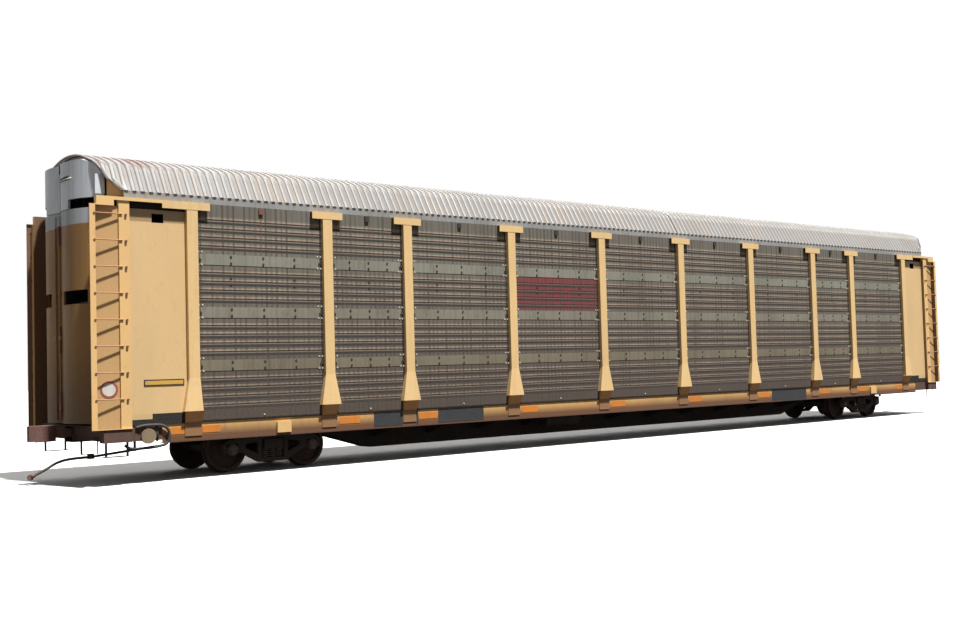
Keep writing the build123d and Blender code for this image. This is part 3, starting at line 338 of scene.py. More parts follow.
@dataclass(frozen=True)
class Finish:
    """One weathered finish with its own values for the shared weather group."""

    name: str
    slot: str
    base: Colour
    grime: Colour = (0.09, 0.065, 0.045)
    rust: Colour = (0.16, 0.055, 0.025)
    dust: Colour = (0.20, 0.15, 0.11)
    streaks: float = 0.3
    blotches: float = 0.2
    freckles: float = 0.1
    dust_top: float = 1.2
    dust_amount: float = 0.3
    roughness: float = 0.5
    metallic: float = 0.0
    bump: float = 0.15
    specular: float = 0.5
    zones: tuple[Zone, ...] = ()

    def colour(self, sheet: NodeSheet, axes: Axes) -> object:
        """Give the clean colour before any weather.

        Args:
            sheet: The tree that it goes into.
            axes: The piece's axes.

        Returns:
            A colour or a colour socket.
        """
        base: object = self.base
        for zone in self.zones:
            base = zone.apply(sheet, axes, base)
        return base

    def build(self, weather: WeatherGroup) -> bpy.types.Material:
        """Make the material.

        Args:
            weather: The shared group.

        Returns:
            The new material.
        """
        material = bpy.data.materials.new(self.name)
        material.use_nodes = True
        tree = material.node_tree
        sheet = NodeSheet(tree)
        shader = tree.nodes["Principled BSDF"]
        shader.inputs["Metallic"].default_value = self.metallic
        shader.inputs["Specular IOR Level"].default_value = self.specular
        node = tree.nodes.new("ShaderNodeGroup")
        node.node_tree = weather.group
        for name, value in (
            ("Base", self.colour(sheet, sheet.axes())), ("Grime", self.grime), ("Rust", self.rust),
            ("Dust", self.dust), ("Streaks", self.streaks), ("Blotches", self.blotches),
            ("Freckles", self.freckles), ("Dust Top", self.dust_top), ("Dust Amount", self.dust_amount),
            ("Roughness", self.roughness),
        ):
            sheet.put(node.inputs[name], value)
        sheet.put(shader.inputs["Base Color"], node.outputs["Color"])
        sheet.put(shader.inputs["Roughness"], node.outputs["Roughness"])
        bump = tree.nodes.new("ShaderNodeBump")
        bump.inputs["Strength"].default_value = self.bump
        bump.inputs["Distance"].default_value = 0.004
        sheet.put(bump.inputs["Height"], node.outputs["Height"])
        sheet.put(shader.inputs["Normal"], bump.outputs["Normal"])
        return material


@dataclass(frozen=True)
class PanelFinish(Finish):
    """The side panels' finish: painted highlight and painted shade bands along the grooves, painted light and
    shade on the grooves' own faces, pale laps and upright lines.
    """

    sheet_pitch: float = 0.97
    groove_pitch: float = 0.16
    grooves: int = 4
    first_groove: float = RAIL + 1.524 - 0.24
    lead: float = 0.11
    # Painted highlight band round each groove and painted shade band below it, counted from the groove's
    # middle
    lit_band: Span = (-0.016, 0.044)
    shade_band: Span = (-0.076, -0.030)
    height_fade: Span = (RAIL + 1.0, RAIL + 4.9)
    lap_fade: Span = (RAIL + 2.0, RAIL + 3.6)
    lap_depth: Span = (PANEL_Y + 0.0020, PANEL_Y + 0.0045)
    groove_depth: Span = (PANEL_Y - 0.0125, PANEL_Y - 0.0015)
    line_pitch: float = 0.224
    line_half: float = 0.020
    lines: tuple[Span, ...] = ((0.145, 0.75), (0.033, 0.5))
    foot_colour: Colour = srgb(74, 60, 49)
    head_colour: Colour = srgb(122, 117, 102)
    lit_colour: Colour = srgb(168, 149, 130)
    shade_colour: Colour = srgb(34, 27, 21)
    line_colour: Colour = srgb(44, 35, 28)
    lap_colours: tuple[Colour, Colour] = (srgb(118, 108, 88), srgb(134, 132, 118))
    # Painted light on the grooves' faces and painted shade on their upward-facing lower slopes
    groove_highlight_colour: Colour = srgb(168, 150, 132)
    lip_shade_colour: Colour = srgb(66, 56, 47)
    patches: tuple[Zone, ...] = ()

    def colour(self, sheet: NodeSheet, axes: Axes) -> object:
        """Give the clean colour before any weather.

        Args:
            sheet: The tree that it goes into.
            axes: The piece's axes.

        Returns:
            A colour socket.
        """
        height = sheet.band(axes["z"], *self.height_fade)
        base = sheet.mix(height, self.foot_colour, self.head_colour)
        rise = sheet.math("SUBTRACT", axes["z"], self.first_groove - self.lead)
        in_sheet = sheet.math("FLOORED_MODULO", rise, self.sheet_pitch)
        grooved = sheet.inside(in_sheet, 0.02, self.grooves * self.groove_pitch + 0.005, 0.006)
        step = sheet.math("FLOORED_MODULO", in_sheet, self.groove_pitch)
        # Painted highlight along each groove
        lit = sheet.times(sheet.inside(step, *(self.lead + edge for edge in self.lit_band), 0.012), grooved)
        base = sheet.mix(lit, base, self.lit_colour)
        for patch in self.patches:
            base = patch.apply(sheet, axes, base)
        # Painted shade band below each groove
        dark = sheet.times(sheet.inside(step, *(self.lead + edge for edge in self.shade_band), 0.010), grooved)
        base = sheet.mix(dark, base, self.shade_colour)
        across = sheet.math("FLOORED_MODULO", axes["x"], self.line_pitch)
        strength = sheet.band(sheet.noise(axes["p"], (3.1, 3.1, 0.12), 2.0, 2.0), 0.30, 0.60)
        for middle, amount in self.lines:
            line = sheet.inside(across, middle - self.line_half, middle + self.line_half, 0.012)
            base = sheet.mix(sheet.times(sheet.times(line, strength), amount), base, self.line_colour)
        lap = sheet.band(axes["ay"], *self.lap_depth)
        pale = sheet.mix(sheet.band(axes["z"], *self.lap_fade), *self.lap_colours)
        base = sheet.mix(lap, base, pale)
        # Painted light and shade in the grooves: their faces painted pale to offset the grooves' own shadow,
        # and their upward-facing lower slopes painted dark to offset the sun on them
        groove = sheet.inside(axes["ay"], *self.groove_depth, 0.0008)
        base = sheet.mix(groove, base, self.groove_highlight_colour)
        lip = sheet.times(groove, sheet.band(axes["u"], 0.2, 0.5))
        return sheet.mix(lip, base, self.lip_shade_colour)


@dataclass(frozen=True)
class RoofFinish(Finish):
    """The roof's finish: valleys painted darker than the paler ribs, and rust near the A end's crown."""

    valley_half: float = 0.040
    valley_colour: Colour = srgb(90, 84, 79)
    valley_amount: float = 0.50
    warm_colour: Colour = srgb(134, 116, 92)
    warm_amount: float = 0.45
    rust_x: Span = (-13.70, -12.35)
    rust_z: Span = (RAIL + 5.60, RAIL + 6.0)
    rust_colour: Colour = srgb(92, 50, 30)
    rust_amount: float = 0.9

    def colour(self, sheet: NodeSheet, axes: Axes) -> object:
        """Give the clean colour before any weather.

        Args:
            sheet: The tree that it goes into.
            axes: The piece's axes.

        Returns:
            A colour socket.
        """
        shifted = sheet.math("ADD", axes["x"], RIB_PITCH / 2)
        across = sheet.math("FLOORED_MODULO", shifted, RIB_PITCH)
        rib = sheet.inside(across, self.valley_half, RIB_PITCH - self.valley_half, 0.010)
        valley = sheet.math("SUBTRACT", 1.0, rib)
        base = sheet.mix(sheet.times(valley, self.valley_amount), self.base, self.valley_colour)
        warm = sheet.band(sheet.noise(axes["p"], (5.5, 0.35, 0.35), 1.1, 3.0), 0.5, 0.7)
        base = sheet.mix(sheet.times(warm, self.warm_amount), base, self.warm_colour)
        patch = sheet.band(sheet.noise(axes["p"], (6.0, 0.8, 0.8), 1.4, 4.0), 0.44, 0.53)
        where = sheet.times(sheet.inside(axes["x"], *self.rust_x, 0.25),
                            sheet.inside(axes["z"], *self.rust_z, 0.06))
        rust = sheet.times(sheet.times(patch, where), self.rust_amount)
        return sheet.mix(rust, base, self.rust_colour)


# Painted shade and grime: the door leaves below the silver band are painted dark brownish yellow, for the
# end's shade as well as its dirt
DOOR_END_SHADE_AND_GRIME = Zone(srgb(158, 114, 54), (("z", 0.0, RAIL + 4.565),), 1.0, 0.01)
DOOR_SILVER = Zone(srgb(196, 201, 206), (("z", RAIL + 4.565, RAIL + 4.9), ("ay", -1.0, 1.10)), ragged=0.02)
DOOR_FOOT = Zone(srgb(60, 38, 20), (("z", 0.0, RAIL + 1.9),), 0.6, 0.6)
# Painted shade: the door leaves' inner faces, inside the drum, are painted near black
DOOR_INSIDE_SHADE = Zone(srgb(26, 21, 17), (("r", 0.0, DOOR_RADIUS - 0.035),), 1.0, 0.003)
# Painted shade: the pocket panels' inner faces are painted near black
POCKET_INSIDE_SHADE = Zone(srgb(30, 24, 19), (("ay", 0.0, PANEL_Y - 0.004),), 1.0, 0.001)
# Painted shade: the closures' fascia, recessed under the roof's edge, is painted near black
FASCIA_SHADE = Zone(srgb(38, 32, 28), (("z", RAIL + 5.702, RAIL + 6.0),), 1.0, 0.002)
# Painted shade and dirt: the sill's web below its top flange is painted darker brown, for the flange's shadow
# as well as the web's dirt
SILL_WEB_SHADE_AND_DIRT = Zone(srgb(106, 64, 30), (("z", RAIL + 0.4, RAIL + 0.86),), 1.0, 0.10, 0.02)
SILL_FOOT = Zone(srgb(56, 32, 24), (("z", RAIL + 0.4, RAIL + 0.67),), 0.9, 0.03, 0.02)
FOOT_SHADE = Zone(srgb(212, 150, 86), (("z", RAIL + 0.95, RAIL + 1.196),), 0.9, 0.003)
# Painted shade: the post foot's block over the sill is painted brown, continuing the flare's shadow
FOOT_BLOCK_SHADE = Zone(srgb(136, 92, 52), (("z", RAIL + 0.4, RAIL + 1.0),), 0.95, 0.02)
# Painted shadow: the header beam's shadow on the top of each pocket panel
POCKET_HEADER_SHADOW = Zone(srgb(150, 122, 78), (("z", RAIL + 4.57, RAIL + 4.80),), 0.9, 0.01)
# Painted shade: faces near the sides that look in towards the centre line are painted darker brown
LOOKS_IN_SHADE = Zone(srgb(112, 76, 44), (("n", -1.2, -0.6), ("ay", 1.35, 2.0)), 1.0, 0.05)
# Painted shade: faces at the corners that look back towards the middle of the car are painted darker brown
LOOKS_BACK_SHADE = Zone(srgb(74, 50, 30), (("m", -1.2, -0.6), ("ax", 13.05, 13.9)), 0.9, 0.05)
BACK_SHEET = Zone(srgb(190, 148, 92), (("ax", STRIKER_X - 0.36, STRIKER_X + 0.07), ("ay", 1.45, 1.573)), 0.9,
                  0.002)
PANEL_PLACARD = Zone(srgb(128, 36, 44), (("x", POSTS[3] + 0.125, POSTS[4] - 0.125), ("y", -2.0, 0.0),
                                         ("z", LAP_Z[1] + 0.125, LAP_Z[2] - 0.10)), 0.95, 0.006)
PANEL_TOP = Zone(srgb(102, 96, 85), (("z", RAIL + 4.74, RAIL + 5.1),), 0.8, 0.02)
PANEL_FOOT = Zone(srgb(58, 42, 32), (("z", 0.0, RAIL + 1.75),), 0.32, 0.25, 0.3)
BAY_MIDDLE = (POSTS[4] + POSTS[5]) / 2
PANEL_STREAK = Zone(srgb(96, 62, 38), (("ax", BAY_MIDDLE - 1.0, BAY_MIDDLE + 0.028),
                                       ("z", LAP_Z[1] + 0.3, RAIL + 4.85)), 0.7, 0.012)

YELLOW = Finish("weathered_yellow", "yellow_paint", srgb(228, 186, 120), streaks=0.02, blotches=0.10,
                freckles=0.05, dust_top=1.0, dust_amount=0.25, zones=(LOOKS_IN_SHADE,))
LADDER = Finish("ladder_yellow", "yellow_paint", srgb(226, 182, 116), streaks=0.02, blotches=0.15,
                freckles=0.12, dust_top=1.0, dust_amount=0.25, zones=(BACK_SHEET, LOOKS_IN_SHADE, LOOKS_BACK_SHADE))
RUNG = Finish("rung_worn", "yellow_paint", srgb(168, 118, 72), streaks=0.0, blotches=0.3, freckles=0.4)
PLATFORM = Finish("platform_rust", "underframe", srgb(84, 56, 40), grime=srgb(40, 28, 22), streaks=0.1,
                  blotches=0.5, freckles=0.5, dust_amount=0.15, roughness=0.8, specular=0.15)
SILL = Finish("sill_yellow", "yellow_paint", srgb(218, 170, 102), streaks=0.15, blotches=0.2, freckles=0.25,
              dust_top=0.9, dust_amount=0.15, specular=0.15, zones=(SILL_WEB_SHADE_AND_DIRT, SILL_FOOT))
POST = Finish("post_yellow", "yellow_paint", srgb(226, 189, 130), streaks=0.10, blotches=0.10, freckles=0.08,
              dust_top=1.0, dust_amount=0.25, specular=0.3, zones=(FOOT_SHADE, FOOT_BLOCK_SHADE))
POCKET = Finish("pocket_yellow", "yellow_paint", srgb(216, 180, 124), streaks=0.02, blotches=0.10,
                freckles=0.06, dust_top=1.3, dust_amount=0.3, zones=(POCKET_HEADER_SHADOW, POCKET_INSIDE_SHADE))
DOOR_YELLOW = Finish("door_yellow", "door_paint", srgb(214, 170, 108), streaks=0.25, blotches=0.18,
                     freckles=0.08, dust_top=1.9, dust_amount=0.12, specular=0.2,
                     zones=(DOOR_END_SHADE_AND_GRIME, DOOR_FOOT, DOOR_SILVER, DOOR_INSIDE_SHADE))
SILVER = Finish("end_silver", "silver_paint", srgb(206, 212, 218), streaks=0.22, blotches=0.2, freckles=0.05,
                dust_amount=0.0, roughness=0.45, metallic=0.1, bump=0.5, zones=(FASCIA_SHADE,))
PANEL = PanelFinish("weathered_panel", "galvanised", srgb(132, 122, 108), grime=srgb(70, 60, 52),
                    rust=srgb(104, 66, 46), streaks=0.40, blotches=0.35, freckles=0.25, dust_top=1.7,
                    dust_amount=0.1, roughness=0.7, specular=0.12,
                    patches=(PANEL_TOP, PANEL_FOOT, PANEL_PLACARD, PANEL_STREAK))
EAVE = Finish("eave_galvanised", "galvanised", srgb(146, 146, 144), streaks=0.35, blotches=0.3, freckles=0.15,
              dust_amount=0.0, roughness=0.45, metallic=0.25)
ROOF = RoofFinish("roof_galvanised", "roof_steel", srgb(132, 129, 125), grime=srgb(96, 89, 83),
                  rust=srgb(140, 96, 70), streaks=0.15, blotches=0.3, freckles=0.2, dust_amount=0.0,
                  roughness=0.5, metallic=0.15)
DECK = Finish("deck_dark", "deck_steel", srgb(92, 82, 72), streaks=0.0, blotches=0.4, freckles=0.5,
              roughness=0.7)
UNDER = Finish("underframe_dirt", "underframe", srgb(52, 44, 38), grime=srgb(26, 22, 19), streaks=0.2,
               blotches=0.5, freckles=0.4, dust_top=1.0, dust_amount=0.2, roughness=0.85, specular=0.1)
TRUCK = Finish("truck_iron_dirt", "truck_iron", srgb(56, 46, 39), grime=srgb(24, 20, 17), streaks=0.1,
               blotches=0.5, freckles=0.5, dust_top=0.9, dust_amount=0.15, roughness=0.85, bump=0.4,
               specular=0.1)
WHEEL = Finish("wheel_rust", "wheel_steel", srgb(70, 52, 41), grime=srgb(32, 26, 22), streaks=0.0,
               blotches=0.5, freckles=0.6, dust_top=0.8, dust_amount=0.12, roughness=0.75, specular=0.15)
AXLE = Finish("axle_dull", "axle_steel", srgb(64, 53, 45), streaks=0.0, blotches=0.4, freckles=0.3,
              roughness=0.7)
SPRING = Finish("spring_dark", "spring_steel", srgb(52, 44, 38), streaks=0.0, blotches=0.4, freckles=0.3,
                roughness=0.8)
COUPLER = Finish("coupler_rust", "coupler_iron", srgb(104, 60, 48), grime=srgb(44, 28, 24), streaks=0.0,
                 blotches=0.5, freckles=0.6, dust_amount=0.2, roughness=0.8, bump=0.5)
RUBBER = Finish("hose_black", "hose_rubber", srgb(30, 28, 27), streaks=0.0, blotches=0.2, freckles=0.0,
                dust_top=0.7, dust_amount=0.2, roughness=0.75)
RED_IRON = Finish("lock_red", "coupler_iron", srgb(110, 54, 34), streaks=0.1, blotches=0.4, freckles=0.3,
                  roughness=0.7)
# Dark iron for bolts, clips and rods, also used as painted shade at the ribs' open mouths
DARK_BOLT_AND_SHADE = Finish("bolt_dark_and_shade", "underframe", srgb(44, 37, 32), grime=srgb(20, 17, 15), streaks=0.0,
                   blotches=0.3, freckles=0.3, roughness=0.7, specular=0.15)
# Painted shade: near-black finish for the strips and blocks that stand in for shade beside the posts and at
# the pockets
SHADE_STRIP_DARK = Finish("shade_strip_dark", "underframe", srgb(24, 17, 12), grime=srgb(12, 10, 8), streaks=0.0, blotches=0.2,
             freckles=0.1, dust_amount=0.0, roughness=0.9, specular=0.05)
PALE_BOLT = Finish("bolt_pale", "galvanised", srgb(206, 200, 188), streaks=0.0, blotches=0.2, freckles=0.1,
                   dust_amount=0.0, metallic=0.1)
WHITE = Finish("sign_white", "silver_paint", srgb(214, 208, 196), streaks=0.15, blotches=0.15, freckles=0.05,
               dust_amount=0.1)
BLACK = Finish("patch_black", "underframe", srgb(32, 36, 40), grime=srgb(18, 18, 19), streaks=0.15,
               blotches=0.25, freckles=0.1, dust_amount=0.1, specular=0.15)
AMBER = Finish("reflector_amber", "yellow_paint", srgb(210, 122, 14), streaks=0.15, blotches=0.15,
               freckles=0.05, dust_amount=0.05, roughness=0.5, specular=0.2)
LABEL = Finish("label_yellow", "yellow_paint", srgb(206, 158, 52), streaks=0.1, blotches=0.15, freckles=0.02,
               dust_amount=0.1)
SIGN_RED = Finish("sign_red", "coupler_iron", srgb(156, 62, 52), streaks=0.15, blotches=0.3, freckles=0.05,
                  dust_amount=0.1)
TAN = Finish("tan_drum", "underframe", srgb(132, 110, 78), streaks=0.2, blotches=0.5, freckles=0.4,
             dust_amount=0.3, roughness=0.8)

FINISHES = (YELLOW, LADDER, RUNG, PLATFORM, SILL, POST, POCKET, DOOR_YELLOW, SILVER, PANEL, EAVE, ROOF, DECK,
            UNDER, TRUCK, WHEEL, AXLE, SPRING, COUPLER, RUBBER, RED_IRON, DARK_BOLT_AND_SHADE, SHADE_STRIP_DARK, PALE_BOLT, WHITE,
            BLACK, AMBER, LABEL, SIGN_RED, TAN)

SLOT_FINISHES: dict[str, Finish] = {
    "yellow_paint": YELLOW, "door_paint": DOOR_YELLOW, "silver_paint": SILVER, "galvanised": PANEL,
    "roof_steel": ROOF, "deck_steel": DECK, "underframe": UNDER, "truck_iron": TRUCK, "wheel_steel": WHEEL,
    "axle_steel": AXLE, "spring_steel": SPRING, "coupler_iron": COUPLER, "hose_rubber": RUBBER,
}
NODE_FINISHES: dict[str, Finish] = {
    "eave_rails": EAVE, "side_sill_near": SILL, "side_sill_far": SILL, "posts_near": POST, "posts_far": POST,
    "pocket_panels": POCKET, "ladders": LADDER, "corner_posts": LADDER, "ladder_rungs": RUNG,
    "end_frames": PLATFORM, "sill_steps": PLATFORM,
}


class Paintshop:
    """Holds every finish as a built material."""

    def __init__(self) -> None:
        """Build the weather group and all the materials."""
        self.weather = WeatherGroup()
        self.materials = {finish.name: finish.build(self.weather) for finish in FINISHES}

    def of(self, finish: Finish) -> bpy.types.Material:
        """Give a finish's material."""
        return self.materials[finish.name]

    def dress_nodes(self) -> None:
        """Give every node of the solids its own finish."""
        slots = {entry["node"]: entry["material_slot"] for entry in frame["record"]["subparts"]}
        for name, node in frame["nodes"].items():
            finish = NODE_FINISHES.get(name, SLOT_FINISHES[slots[name]])
            node.data.materials.clear()
            node.data.materials.append(self.of(finish))


# Mesh helpers


class MeshBin:
    """Collects simple solids into one mesh."""

    def __init__(self) -> None:
        """Start with nothing."""
        self.verts: list[Point] = []
        self.faces: list[tuple[int, ...]] = []

    def block(self, low: Sequence[float], high: Sequence[float]) -> None:
        """Add a box.

        Args:
            low: One corner.
            high: The opposite corner.
        """
        x0, y0, z0 = (min(a, b) for a, b in zip(low, high))
        x1, y1, z1 = (max(a, b) for a, b in zip(low, high))
        base = len(self.verts)
        self.verts += [(x0, y0, z0), (x1, y0, z0), (x1, y1, z0), (x0, y1, z0),
                       (x0, y0, z1), (x1, y0, z1), (x1, y1, z1), (x0, y1, z1)]
        self.faces += [tuple(base + i for i in quad) for quad in (
            (0, 3, 2, 1), (4, 5, 6, 7), (0, 1, 5, 4), (1, 2, 6, 5), (2, 3, 7, 6), (3, 0, 4, 7))]

    def tube(self, route: Sequence[Sequence[float]], radius: float, sides: int = 8) -> None:
        """Add a round bar along a route.

        Args:
            route: The centre line's points.
            radius: The bar's radius.
            sides: How many sides it has.
        """
        points = [Vector(p) for p in route]
        count = len(points)
        base = len(self.verts)
        start = (points[1] - points[0]).normalized()
        up = Vector((0, 0, 1)) if abs(start.z) < 0.9 else Vector((1, 0, 0))
        for i, here in enumerate(points):
            before, after = points[max(i - 1, 0)], points[min(i + 1, count - 1)]
            along = (after - before).normalized()
            across = along.cross(up).normalized()
            up = across.cross(along).normalized()
            for k in range(sides):
                angle = 2 * pi * k / sides
                self.verts.append(tuple(here + radius * (cos(angle) * across + sin(angle) * up)))
        for i in range(count - 1):
            a, b = base + i * sides, base + (i + 1) * sides
            self.faces += [(a + k, a + (k + 1) % sides, b + (k + 1) % sides, b + k) for k in range(sides)]
        self.faces.append(tuple(base + k for k in reversed(range(sides))))
        self.faces.append(tuple(base + (count - 1) * sides + k for k in range(sides)))

    def fit(self, name: str, paint: Paintshop, finish: Finish, body: str = "car", smooth: bool = False,
            stands_for: str = "") -> None:
        """Make the object in its finish and set it on its body.

        Args:
            name: The object's name.
            paint: The finished materials.
            finish: Its finish.
            body: The body that it moves with.
            smooth: True for smooth shading.
            stands_for: The node of the solids that it replaces, if any.
        """
        mesh = bpy.data.meshes.new(name)
        mesh.from_pydata(self.verts, [], self.faces)
        tool = bmesh.new()
        tool.from_mesh(mesh)
        bmesh.ops.recalc_face_normals(tool, faces=tool.faces)
        tool.to_mesh(mesh)
        tool.free()
        mesh.materials.append(paint.of(finish))
        for polygon in mesh.polygons:
            polygon.use_smooth = smooth
        piece = bpy.data.objects.new(name, mesh)
        bpy.context.collection.objects.link(piece)
        place(piece, body, finish, stands_for)


def smooth_route(points: Sequence[Point], steps: int = 8) -> list[Vector]:
    """Pass a smooth line through points.

    Args:
        points: The points that it passes through.
        steps: How many pieces each run is cut into.

    Returns:
        The line's points.
    """
    knots = [Vector(p) for p in points]
    knots = [2 * knots[0] - knots[1]] + knots + [2 * knots[-1] - knots[-2]]
    line: list[Vector] = []
    for a, b, c, d in zip(knots, knots[1:], knots[2:], knots[3:]):
        for n in range(steps):
            t = n / steps
            line.append(0.5 * (2 * b + (c - a) * t + (2 * a - 5 * b + 4 * c - d) * t ** 2
                               + (3 * b - a - 3 * c + d) * t ** 3))
    line.append(knots[-2])
    return line


def place(piece: bpy.types.Object, body: str, finish: Finish, stands_for: str = "") -> None:
    """Ride a piece on its body, and hide the node of the solids that it stands for.

    Args:
        piece: The finished object.
        body: The body that it moves with.
        finish: Not used.
        stands_for: The node of the solids that it replaces, if any.
    """
    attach(piece, body)
    if stands_for:
        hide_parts(stands_for)
    log.info("%s on %s, %d faces", piece.name, body, len(piece.data.polygons))


@dataclass
class Scatter:
    """Repeats one small solid on a set of points with a node tree, and leaves a plain mesh.

    The size of a round head, which has sides, is its diameter twice and its depth.
    """

    name: str
    size: Point
    sides: int = 0
    turn: Point = (0.0, 0.0, 0.0)

    def tree(self, material: bpy.types.Material) -> bpy.types.NodeTree:
        """Make the node tree.

        Args:
            material: The copies' material.

        Returns:
            The tree.
        """
        tree = bpy.data.node_groups.new(self.name + "_tree", "GeometryNodeTree")
        for label, kind in (("Geometry", "NodeSocketGeometry"), ("Size", "NodeSocketVector"),
                            ("Turn", "NodeSocketVector")):
            tree.interface.new_socket(label, in_out="INPUT", socket_type=kind)
        tree.interface.new_socket("Geometry", in_out="OUTPUT", socket_type="NodeSocketGeometry")
        enter = tree.nodes.new("NodeGroupInput")
        leave = tree.nodes.new("NodeGroupOutput")
        if self.sides:
            solid = tree.nodes.new("GeometryNodeMeshCylinder")
            solid.inputs["Vertices"].default_value = self.sides
            solid.inputs["Radius"].default_value = 0.5
            solid.inputs["Depth"].default_value = 1.0
        else:
            solid = tree.nodes.new("GeometryNodeMeshCube")
        put = tree.nodes.new("GeometryNodeInstanceOnPoints")
        real = tree.nodes.new("GeometryNodeRealizeInstances")
        paint = tree.nodes.new("GeometryNodeSetMaterial")
        paint.inputs["Material"].default_value = material
        for source, target in (
            (enter.outputs["Geometry"], put.inputs["Points"]),
            (solid.outputs["Mesh"], put.inputs["Instance"]),
            (enter.outputs["Size"], put.inputs["Scale"]),
            (enter.outputs["Turn"], put.inputs["Rotation"]),
            (put.outputs["Instances"], real.inputs["Geometry"]),
            (real.outputs["Geometry"], paint.inputs["Geometry"]),
            (paint.outputs["Geometry"], leave.inputs["Geometry"]),
        ):
            tree.links.new(source, target)
        return tree

    def fit(self, spots: Sequence[Point], paint: Paintshop, finish: Finish, body: str = "car") -> None:
        """Put a copy on every spot and set them on their body.

        Args:
            spots: Where the copies go.
            paint: The finished materials.
            finish: Their finish.
            body: The body that they move with.
        """
        mesh = bpy.data.meshes.new(self.name + "_spots")
        mesh.from_pydata([tuple(s) for s in spots], [], [])
        piece = bpy.data.objects.new(self.name, mesh)
        bpy.context.collection.objects.link(piece)
        modifier = piece.modifiers.new("scatter", "NODES")
        modifier.node_group = self.tree(paint.of(finish))
        for item in modifier.node_group.interface.items_tree:
            if item.item_type == "SOCKET" and item.in_out == "INPUT" and item.name in ("Size", "Turn"):
                modifier[item.identifier] = self.size if item.name == "Size" else self.turn
        graph = bpy.context.evaluated_depsgraph_get()
        made = bpy.data.meshes.new_from_object(piece.evaluated_get(graph))
        piece.modifiers.clear()
        piece.data = made
        if not made.materials:
            made.materials.append(paint.of(finish))
        place(piece, body, finish)


# Roof


